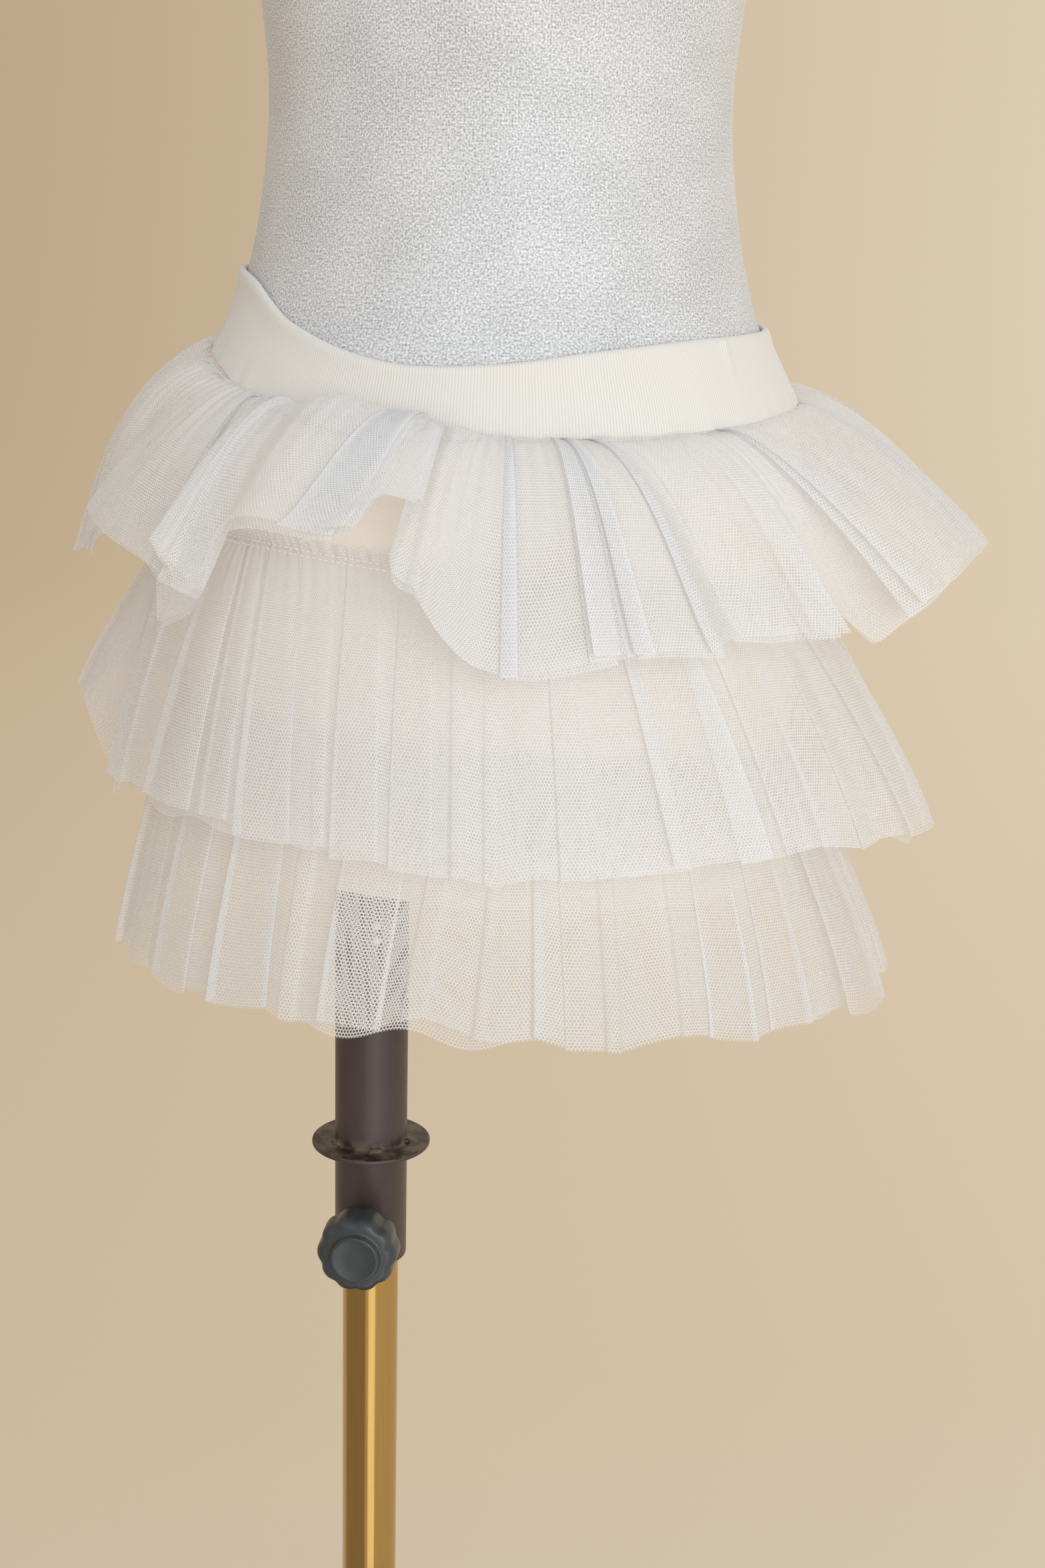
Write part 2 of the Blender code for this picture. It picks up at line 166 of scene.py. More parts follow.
profile = [(0.001, 0.0), (1.0, 0.0), (2.2, 0.0), (SWEEP_FLOOR, 0.0)]  # radius and height, from the middle out
for step in range(1, 13):
    turn = math.radians(90 * step / 12)
    profile.append((SWEEP_FLOOR + SWEEP_BEND * math.sin(turn), SWEEP_BEND * (1 - math.cos(turn))))
profile.append((SWEEP_FLOOR + SWEEP_BEND, SWEEP_HEIGHT))
around = np.radians(np.arange(SWEEP_SIDES) * 360 / SWEEP_SIDES)
sweep_points = [(r * math.cos(a), r * math.sin(a), z) for r, z in reversed(profile) for a in around]
sweep = add_piece("paper_sweep", sweep_points, grid_faces(len(profile), SWEEP_SIDES, True), paper)
sweep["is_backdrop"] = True

world = bpy.data.worlds.new("studio_air")
world.use_nodes = True
world.node_tree.nodes["Background"].inputs[0].default_value = linear("#EDF2F9")
world.node_tree.nodes["Background"].inputs[1].default_value = 0.82
bpy.context.scene.world = world


def soft_box(name, place, target, width, height, power, colour):
    """A flat lamp that shines on a target, its sizes in metres and its power in watts."""
    lamp = bpy.data.lights.new(name, "AREA")
    lamp.shape = "RECTANGLE"
    lamp.size, lamp.size_y, lamp.energy = width, height, power
    lamp.color = linear(colour)[:3]
    item = bpy.data.objects.new(name, lamp)
    item.location = place
    item.rotation_euler = (Vector(target) - Vector(place)).to_track_quat("-Z", "Y").to_euler()
    bpy.context.scene.collection.objects.link(item)


SKIRT_MIDDLE = (0.05, 0, 0.6)
soft_box("key_light", (1.1, -2.6, 1.1), SKIRT_MIDDLE, 1.8, 1.8, 33.5, "#F3F8FF")
soft_box("fill_light", (-1.6, -2.6, 0.8), SKIRT_MIDDLE, 1.8, 1.8, 4, "#F6F8FF")
soft_box("back_light", (0.8, 2.4, 2.2), SKIRT_MIDDLE, 1.6, 1.2, 6, "#FFFFFF")

# Two glowing cards lie and stand round the bare part of the stand, a shaded one on the left and a bright
# strip in front; only glossy surfaces see them, as a painted reflection: the dark band and the narrow
# highlight along the tubes.
CARD_RADIUS = 0.36
CARD_TOP = 0.42
CARD_COLUMNS = 25
CARD_SECTION = ((0.142, 0.002), (CARD_RADIUS, 0.002), (CARD_RADIUS, CARD_TOP))  # starts outside the base
CARDS = (("painted_shade_card", -112, -16, "#A09180", 1.0), ("painted_highlight_card", -3, 24, "#FFFAF0", 1.5))
for name, start, end, tone, strength in CARDS:
    # each card glows in its colour only for gloss: a painted reflection of shade or of a bright strip
    reflection_card_glow, tree, shader = finish(name + "_paper", Roughness=0.9, Emission_Strength=strength)
    place = node(tree, "ShaderNodeTexCoord")
    grain = node(tree, "ShaderNodeTexNoise", {"Vector": place.outputs["Object"], "Scale": 12.0})
    darker = tuple(0.9 * c for c in linear(tone)[:3]) + (1.0,)
    uneven = node(tree, "ShaderNodeMix", {0: grain.outputs["Fac"], 6: darker, 7: linear(tone)},
                  data_type="RGBA")
    tree.links.new(uneven.outputs[2], shader.inputs["Emission Color"])
    shader.inputs["Base Color"].default_value = linear("#000000")
    turns = np.radians(np.linspace(start, end, CARD_COLUMNS))
    card_points = [(r * math.sin(a), -r * math.cos(a), z) for r, z in CARD_SECTION for a in turns]
    card = add_piece(name, card_points, grid_faces(len(CARD_SECTION), CARD_COLUMNS, False), reflection_card_glow)
    card.visible_camera = card.visible_diffuse = card.visible_transmission = card.visible_shadow = False
    card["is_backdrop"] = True

# --- Form -------------------------------------------------------------------------------------------
# A limbless child's torso of moulded foam under a tight cover of silver velvet knit, on a steel sleeve.
# Sections are ellipses; angles run from the front towards +X, in degrees.
FORM_X = 0.0495
FORM = (
    # height, half_width, half_depth, forward
    (0.505, 0.0960, 0.0760, 0.004),
    (0.509, 0.1010, 0.0810, 0.004),
    (0.526, 0.1085, 0.0870, 0.005),
    (0.560, 0.1185, 0.0945, 0.006),
    (0.600, 0.1240, 0.0985, 0.006),
    (0.640, 0.1235, 0.0980, 0.006),
    (0.663, 0.1192, 0.0945, 0.005),
    (0.677, 0.1128, 0.0905, 0.005),
    (0.692, 0.1055, 0.0865, 0.004),
    (0.709, 0.1003, 0.0832, 0.003),
    (0.736, 0.0949, 0.0800, 0.002),
    (0.776, 0.0914, 0.0780, 0.001),
    (0.815, 0.0943, 0.0795, 0.002),
    (0.860, 0.0990, 0.0835, 0.003),
    (0.910, 0.1045, 0.0870, 0.003),
    (0.955, 0.1090, 0.0840, 0.001),
    (0.985, 0.1105, 0.0750, 0.000),
    (1.006, 0.1040, 0.0640, -0.001),
    (1.022, 0.0800, 0.0540, -0.002),
    (1.033, 0.0560, 0.0460, -0.002),
    (1.043, 0.0415, 0.0390, -0.001),
    (1.056, 0.0365, 0.0355, 0.000),
    (1.070, 0.0355, 0.0350, 0.000),
    (1.073, 0.0325, 0.0320, 0.000),
)
HIPS = 0.615  # below this the cloth hangs straight down
BORE_RADIUS = 0.0161  # the hole in the underside that takes the sleeve, on the pole's axis
BORE_TOP = 0.5602
FORM_ROWS = 150
FORM_COLUMNS = 96
FORM_GIRTH = 0.100  # mean radius, which turns an angle into metres of cloth


def smooth_through(table, turns=False):
    """A table's other columns as functions of its first one; turns joins its ends at 360 degrees."""
    rows = np.array(table, float)
    if turns:
        before, after = rows[-2:].copy(), rows[:2].copy()
        before[:, 0] -= 360
        after[:, 0] += 360
        rows = np.vstack((before, rows, after))
    keys, values = rows[:, 0], rows[:, 1:]
    slope = np.gradient(values, axis=0)
    slope[1:-1] = (values[2:] - values[:-2]) / (keys[2:] - keys[:-2])[:, None]
    slope[0] = (values[1] - values[0]) / (keys[1] - keys[0])
    slope[-1] = (values[-1] - values[-2]) / (keys[-1] - keys[-2])

    def at(key):
        key = np.asarray(key, float)
        key = np.clip((key + 180) % 360 - 180 if turns else key, keys[0], keys[-1])
        low = np.clip(np.searchsorted(keys, key, side="right") - 1, 0, len(keys) - 2)
        span = (keys[low + 1] - keys[low])[..., None]
        t = (key - keys[low])[..., None] / span
        start, end, out, into = values[low], values[low + 1], slope[low] * span, slope[low + 1] * span
        rise = end - start
        found = start + t * out + t * t * (3 * rise - 2 * out - into) + t**3 * (out + into - 2 * rise)
        return np.moveaxis(found, -1, 0)

    return at


form_section = smooth_through(FORM)


def on_form(angle, height, out, hang=HIPS):
    """Points at an angle round the form, moved out level along the normal of the section's ellipse."""
    half_width, half_depth, forward = form_section(np.maximum(height, hang))
    sine, cosine = np.sin(np.radians(angle)), np.cos(np.radians(angle))
    level = np.hypot(half_depth * sine, half_width * cosine)
    x = FORM_X + half_width * sine + out * half_depth * sine / level
    y = -forward - half_depth * cosine - out * half_width * cosine / level
    return np.stack((x, y, height + 0 * x), -1)


# The cover is a crushed velvet knit: a pale grey ground whose stitches leave rows of small dark dots, and a
# short silver pile whose glints are painted into its colour as white flecks, denser in some places than in
# others.
WALE = 0.0012  # distance between columns of stitches
COURSE = WALE * 0.85  # and between rows of them
FLECK = 0.0009  # size of a fleck of pile
velvet, tree, shader = finish("crushed_silver_velvet", Roughness=0.5, Sheen_Weight=0.3, Sheen_Roughness=0.4)
cloth = node(tree, "ShaderNodeUVMap", uv_map="cloth")
pile = node(tree, "ShaderNodeTexNoise",
            {"Vector": cloth.outputs[0], "Scale": 1 / FLECK, "Detail": 3.0, "Roughness": 0.65})
crush = node(tree, "ShaderNodeTexNoise", {"Vector": cloth.outputs[0], "Scale": 30.0, "Detail": 4.0})
full = node(tree, "ShaderNodeMapRange", {0: crush.outputs["Fac"], 1: 0.35, 2: 0.65, 3: -0.015, 4: 0.025})
fleck = node(tree, "ShaderNodeMath", {0: pile.outputs["Fac"], 1: full.outputs[0]}, operation="ADD")
# where the pile shows white flecks, which are painted glints
painted_pile_glint = node(tree, "ShaderNodeMapRange", {0: fleck.outputs[0], 1: 0.35, 2: 0.65})
axes = node(tree, "ShaderNodeSeparateXYZ", {0: cloth.outputs[0]})
dots = None
for axis, size in ((0, WALE), (1, COURSE)):
    turn = node(tree, "ShaderNodeMath", {0: axes.outputs[axis], 1: 2 * math.pi / size}, operation="MULTIPLY")
    wave = node(tree, "ShaderNodeMath", {0: turn.outputs[0]}, operation="COSINE")
    rise = node(tree, "ShaderNodeMapRange", {0: wave.outputs[0], 1: 0.1, 2: 0.9})
    if dots is None:
        dots = rise
    else:
        dots = node(tree, "ShaderNodeMath", {0: dots.outputs[0], 1: rise.outputs[0]}, operation="MULTIPLY")
bare = node(tree, "ShaderNodeMapRange", {0: painted_pile_glint.outputs[0], 1: 0.9, 2: 0.1, 3: 0.0, 4: 0.75})
dark = node(tree, "ShaderNodeMath", {0: dots.outputs[0], 1: bare.outputs[0]}, operation="MULTIPLY")
# the pale pile's own tone and its painted glints as white flecks
tone = node(tree, "ShaderNodeMix", {0: painted_pile_glint.outputs[0], 6: linear("#A8A8A9"), 7: linear("#F1F1F1")},
            data_type="RGBA")
knit = node(tree, "ShaderNodeMix", {0: dark.outputs[0], 6: tone.outputs[2], 7: linear("#7D7E81")},
            data_type="RGBA")
tree.links.new(knit.outputs[2], shader.inputs["Base Color"])
nap = node(tree, "ShaderNodeBump", {"Strength": 0.35, "Distance": 0.0003, "Height": fleck.outputs[0]})
tree.links.new(nap.outputs[0], shader.inputs["Normal"])

heights = np.linspace(FORM[0][0], FORM[-1][0], FORM_ROWS)[::-1]
around = np.arange(FORM_COLUMNS) * 360 / FORM_COLUMNS - 180
level, turn = np.meshgrid(heights, around, indexing="ij")
shell = on_form(turn, level, 0 * level, hang=0.0).reshape(-1, 3)
sine, cosine = np.sin(np.radians(around)), np.cos(np.radians(around))
bore = [np.stack((BORE_RADIUS * sine, -BORE_RADIUS * cosine, z + 0 * sine), -1)
        for z in (FORM[0][0], BORE_TOP)]
shell = np.concatenate([shell, *bore])
faces = [tuple(f) for f in grid_faces(FORM_ROWS + 2, FORM_COLUMNS, True)]
faces.append(tuple(range(FORM_COLUMNS)))
faces.append(tuple(range(len(shell) - 1, len(shell) - FORM_COLUMNS - 1, -1)))
threads = np.stack((np.radians(turn) * FORM_GIRTH, level), -1).reshape(-1, 2)
threads = np.vstack((threads, np.tile(threads[-FORM_COLUMNS:], (2, 1))))
torso = add_piece("velvet_torso", shell, faces, velvet, threads)
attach(torso, "form")
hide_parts("dress_form")

# --- Waistband --------------------------------------------------------------------------------------
# A doubled tube of cream rib knit, folded along its top edge and overlocked to the skirt below.
BAND = (
    # angle, top, bottom
    (-180, 0.707, 0.674),
    (-135, 0.713, 0.681),
    (-90, 0.712, 0.682),
    (-65, 0.7075, 0.6745),
    (-45, 0.6925, 0.6620),
    (-20, 0.6803, 0.6530),
    (0, 0.6805, 0.6540),
    (20, 0.6855, 0.6537),
    (45, 0.6897, 0.6565),
    (90, 0.6925, 0.6630),
    (135, 0.6990, 0.6670),
)
SKIN_GAP = 0.0008
BAND_WALL = 0.0020
BAND_RUN = 0.064  # metres of cloth from the seam up and over the fold
BAND_COLUMNS = 480
RIM = 0.0009  # how far the fold's rim and the overlocked edge stand out
PUCKER = 0.00012
PUCKER_FALL = 0.18  # share of the height by which the seam's puckers have mostly smoothed out
TACK = 52.0  # where a bar tack closes the band's side, seen as a short ridge
TACK_WIDTH = 1.0  # degrees
TACK_RISE = 0.0012
TACK_FROM, TACK_EASE = 0.62, 0.15  # shares of the height where it starts and over which it rises
RIB = 0.0010  # real ribs are 0.9 mm apart, drawn a little wider so that they show
band_edges = smooth_through(BAND, turns=True)

# Cotton rib is matt, with fine upright ribs: pale ridges and a soft painted shade between them.
rib_knit, tree, shader = finish("cream_rib_knit", Roughness=0.85, Sheen_Weight=0.2)
cloth = node(tree, "ShaderNodeUVMap", uv_map="cloth")
along = node(tree, "ShaderNodeSeparateXYZ", {0: cloth.outputs[0]})
ribs = node(tree, "ShaderNodeMath", {0: along.outputs[0], 1: 2 * math.pi / RIB}, operation="MULTIPLY")
ridge = node(tree, "ShaderNodeMath", {0: ribs.outputs[0]}, operation="COSINE")
depth = node(tree, "ShaderNodeMapRange", {0: ridge.outputs[0], 1: -1.0, 2: 0.4})
# painted shade darkens the grooves between the ribs
tone = node(tree, "ShaderNodeMix", {0: depth.outputs[0], 6: linear("#DDD8CE"), 7: linear("#E9E6DF")},
            data_type="RGBA")
tree.links.new(tone.outputs[2], shader.inputs["Base Color"])
nap = node(tree, "ShaderNodeBump", {"Strength": 0.2, "Distance": 0.0003, "Height": depth.outputs[0]})
tree.links.new(nap.outputs[0], shader.inputs["Normal"])

around = np.arange(BAND_COLUMNS) * 360 / BAND_COLUMNS - 180
top, bottom = band_edges(around)
chance = np.random.default_rng(4)
pucker = np.zeros(BAND_COLUMNS)
for waves in (31, 43, 58, 77):
    pucker += chance.uniform(0.4, 1.0) * np.cos(np.radians(around) * waves + chance.uniform(0, 6.28))
# share of the height, share of the wall and of the rim, up the outside, over the fold and down the inside
section = [(0.0, 1.0, 0.5), (0.08, 1.0, 0.6), (0.3, 1.0, 0.1), (0.6, 1.0, 0.0), (0.8, 1.0, 0.1),
           (0.88, 1.0, 0.8)]
for step in range(7):
    turn = math.radians(180 * step / 6)
    section.append((1 - 0.05 + 0.05 * math.sin(turn), 0.5 + 0.5 * math.cos(turn), 0.5 + 0.5 * math.cos(turn)))
section += [(0.85, 0.0, 0.0), (0.5, 0.0, 0.0), (0.0, 0.0, 0.0)]
tack = np.exp(-(((around - TACK) / TACK_WIDTH) ** 2))
rings, threads = [], []
for share, wall, proud in section:
    height = bottom + (top - bottom) * share
    low = math.exp(-share / PUCKER_FALL)
    out = SKIN_GAP + BAND_WALL * wall + RIM * proud + PUCKER * pucker * low * wall
    out += TACK_RISE * wall * tack * min(max((share - TACK_FROM) / TACK_EASE, 0), 1)
    rings.append(on_form(around, height, out))
    length = BAND_RUN * len(rings) / len(section)
    threads.append(np.stack((np.radians(around) * FORM_GIRTH, np.full(BAND_COLUMNS, length)), -1))
rings, threads = rings[::-1], threads[::-1]
band = add_piece("rib_knit_waistband", np.concatenate(rings), grid_faces(len(rings), BAND_COLUMNS, True),
                 rib_knit, np.concatenate(threads))
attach(band, "form")
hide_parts("waistband")

# --- Lining -----------------------------------------------------------------------------------------
# One tube of cream jersey, overlocked into the waistband's seam and hemmed just under the form. The
# lower two tiers are stitched to it.
LINING_WALL = 0.0012
LINING_HEM = 0.4765
LINING_TILT = 0.006
LINING_GIRTH = 0.110
LINING_COLUMNS = 300
LINING_ROWS = 40
LINING_TUCK = 0.0004  # how far it starts below the band's edge
FREE_FROM, FREE_WITHIN = 0.560, 0.09  # it leaves the form here and ripples more and more over that depth
RIPPLE = 0.0009

# Plain cotton jersey looks smooth and matt, a warm cream with a faint mottle of fibres.
jersey, tree, shader = finish("cream_jersey", Roughness=0.9, Sheen_Weight=0.15)
place = node(tree, "ShaderNodeTexCoord")
fibres = node(tree, "ShaderNodeTexNoise", {"Vector": place.outputs["Object"], "Scale": 900.0, "Detail": 2.0})
tone = node(tree, "ShaderNodeMix", {0: fibres.outputs["Fac"], 6: linear("#F5ECE0"), 7: linear("#FBF4EA")},
            data_type="RGBA")
tree.links.new(tone.outputs[2], shader.inputs["Base Color"])

around = np.arange(LINING_COLUMNS) * 360 / LINING_COLUMNS - 180
bottom = band_edges(around)[1] - LINING_TUCK
hem = LINING_HEM - LINING_TILT * np.sin(np.radians(around))
ripple = np.cos(np.radians(around) * 17 + 1) + 0.7 * np.cos(np.radians(around) * 26 + 2)
rings, threads = [], []
for row in range(LINING_ROWS):
    share = row / (LINING_ROWS - 1)
    height = bottom + (hem - bottom) * share
    free = np.clip((FREE_FROM - height) / FREE_WITHIN, 0, 1)
    rings.append(on_form(around, height, SKIN_GAP + LINING_WALL / 2 + RIPPLE * free * (1 + ripple / 2)))
    threads.append(np.stack((np.radians(around) * LINING_GIRTH, height), -1))
lining = add_piece("jersey_lining", np.concatenate(rings), grid_faces(LINING_ROWS, LINING_COLUMNS, True),
                   jersey, np.concatenate(threads))
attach(lining, "form")
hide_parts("lining")

# --- Tulle ------------------------------------------------------------------------------------------
# Three strips of stiff ivory net, each of two plies, gathered along the top edge: the first is sewn in with
# the waistband's seam and the others are stitched to the lining. Their hems are cut and left raw.
NET = 0.00125  # distance between holes; real net has 1.15 mm, which shimmers in a render
OPEN, COVERED = 0.10, 0.96  # share of the light that the middle of a hole and the thread stop
GLOW = 0.45  # share that the thread passes on to its other side
THICKENING = 0.6  # how much closer the mesh looks where the gathers draw it up

# Polyester net is a mesh of six-sided holes in white thread with a soft sheen. One ply shows what is behind
# it, many turn white, and light from behind makes the thread glow.
tulle, tree, shader = finish("ivory_polyester_tulle", Roughness=0.6, Sheen_Weight=0.25)
shader.inputs["Base Color"].default_value = linear("#F6F6F6")
cloth = node(tree, "ShaderNodeUVMap", uv_map="cloth")
lattice = None
for turn in (0, 60, 120):
    wave = 4 * math.pi / (math.sqrt(3) * NET)
    line = (wave * math.sin(math.radians(turn)), wave * math.cos(math.radians(turn)), 0.0)
    along = node(tree, "ShaderNodeVectorMath", {0: cloth.outputs[0], 1: line}, operation="DOT_PRODUCT")
    crest = node(tree, "ShaderNodeMath", {0: along.outputs["Value"]}, operation="COSINE")
    if lattice is None:
        lattice = crest.outputs[0]
    else:
        lattice = node(tree, "ShaderNodeMath", {0: lattice, 1: crest.outputs[0]}, operation="ADD").outputs[0]
drawn = node(tree, "ShaderNodeAttribute", attribute_name="drawn_up")
close = node(tree, "ShaderNodeMath", {0: lattice, 1: drawn.outputs["Fac"]}, operation="SUBTRACT")
thread = node(tree, "ShaderNodeMapRange", {0: close.outputs[0], 1: 0.03, 2: -0.90, 3: OPEN, 4: COVERED})
glow = node(tree, "ShaderNodeBsdfTranslucent", {0: linear("#F6F6F6")})
lit = node(tree, "ShaderNodeMixShader", {0: GLOW, 1: shader.outputs[0], 2: glow.outputs[0]})
hole = node(tree, "ShaderNodeBsdfTransparent")
seen = node(tree, "ShaderNodeMixShader", {0: thread.outputs[0], 1: hole.outputs[0], 2: lit.outputs[0]})
tree.links.new(seen.outputs[0], tree.nodes["Material Output"].inputs["Surface"])


def blur(values, sigma):
    """A running average along a strip, whose ends join."""
    reach = int(3 * sigma) + 1
    kernel = np.exp(-0.5 * (np.arange(-reach, reach + 1) / sigma) ** 2)
    kernel /= kernel.sum()
    padded = np.concatenate((values[:, -reach:], values, values[:, :reach]), 1)
    return np.stack([np.convolve(row, kernel, "valid") for row in padded])


# A ply is listed as the creases that its hem runs through. Each has its angle at the seam and at the hem,
# the hem's height and its spread from the seam in mm, how far it stands proud in mm, 1 where it is a soft
# wave and not pressed, and its share of the tier's puff.
def left_fold(seam, hem, height, spread, under, lift=1.7, puff=1):
    """A fold whose edge looks to the wearer's right: the cloth runs under it and then turns back over."""
    return [(seam + under * 0.35, hem + under, height, spread, -lift * 0.5, 0, puff),
            (seam, hem, height, spread, lift, 0, puff)]


def right_fold(seam, hem, height, spread, under, lift=1.7, puff=1):
    """The same, seen from the wearer's left."""
    return [(seam, hem, height, spread, lift, 0, puff),
            (seam - under * 0.35, hem - under, height, spread, -lift * 0.5, 0, puff)]


def strip_fold(seam, hem, width, height, spread, lift=1.7, puff=1):
    """A narrow box pleat with both of its edges in sight."""
    half, near = width / 2, width * 0.15
    low, high = (height, spread, -lift * 0.5, 0, puff), (height, spread, lift, 0, puff)
    return [(seam + near, hem + half * 0.6, *low), (seam - near, hem - half, *high),
            (seam + near, hem + half, *high), (seam - near, hem - half * 0.6, *low)]


def panel(seam, hem, height, spread, lift=0.5, puff=1):
    """A place that the cloth passes in a soft wave."""
    return [(seam, hem, height, spread, lift, 1, puff)]


def pleat(left, right, height, spread, lift=1.3, fall=0, puff=1, under=0.24):
    """A flat box pleat between two fold lines, each an angle at the seam and one at the hem."""
    wide, turned = right[0] - left[0], under * (right[1] - left[1])
    return [(left[0] + wide * 0.2, left[1] + turned, height, spread, -lift * 0.5, 1, puff),
            (*left, height, spread, lift, 0, puff), (*right, height + fall, spread, lift, 0, puff),
            (right[0] - wide * 0.2, right[1] - turned, height + fall, spread, -lift * 0.5, 1, puff)]


def random_folds(start, end, table, chance, puff=1):
    """Uneven flat pleats between two angles, leaning here and there, on the tier's own table."""
    folds, angle = [], start
    while angle < end - 8:
        width, gap, lean = chance.uniform(8, 17), chance.uniform(1, 5), chance.uniform(-4, 4)
        height, spread = (table(angle + width / 2)[[4, 3]] * 1000).tolist()
        height, spread = height + chance.uniform(-7, 6), spread + chance.uniform(-5, 4)
        lift, swell = chance.uniform(1.0, 2.6), puff * chance.uniform(0.7, 1.2)
        narrow, end_of, between = chance.uniform(0, 0.15) * width, angle + width, angle + width + gap / 2
        folds += pleat((angle + narrow, angle + lean), (end_of - narrow, end_of + lean), height, spread,
                       lift, chance.uniform(-3, 3), swell)
        folds += panel(between, between + lean / 2, height + 1.5, spread - 1, chance.uniform(-1.5, 0), swell)
        angle += width + gap
    return folds


def loose_folds(table, chance):
    """The broad soft waves of an inner ply, which is gathered less than the outer one."""
    folds, angle = [], -180.0
    while angle < 168:
        height, spread = (table(angle)[[4, 3]] * 1000).tolist()
        width = chance.uniform(17, 30)
        folds += panel(angle, angle, height + chance.uniform(-5, 3), spread, chance.uniform(-4, -1))
        if chance.random() < 0.4:
            crease = angle + width * 0.6
            folds += left_fold(crease, crease, height, spread, chance.uniform(2, 5), 0.8)
        else:
            middle = angle + width / 2
            folds += panel(middle, middle, height + chance.uniform(-3, 3), spread)
        angle += width
    return folds


PLY_ROWS = 24
HEM_ARC = 2.6  # mm of hem to a degree
CLOTH_STEP = 1.25  # mm of cloth from one column of points to the next
CRISP, LOOSE, EASED = 1.1, 5.0, 25.0  # columns over which a pressed fold, a soft one and a lean are rounded
GATHER = 9.0  # mm of cloth in one gather, on average
GATHER_CHANGE = 12.0  # how much that changes along the seam
GATHER_FALL = 0.018  # metres below the seam where the gathers have mostly run out
GATHERED_LIFT = 0.12  # share of a fold's lift that it has at the seam
DEEPEST = 0.004  # metres that a fold may dip, which the gathers make up for
FRILL_FLARE = 0.0012  # how far the frill above the seam stands out at its edge
HEM_WANDER, CLOTH_WANDER, FINE_WANDER = 0.003, 0.0013, 0.0003  # how far the cut and the cloth stray
INNER_STRAY = 0.5  # degrees by which the inner ply's creases miss the outer one's
INNER_BACK, INNER_DROP = 1.5, 1.2  # mm that it lies further in, at the hem and all over
INNER_LIFT = 0.7  # share of the outer ply's lift
INNER_LONG = 0.001  # metres that its hem hangs lower


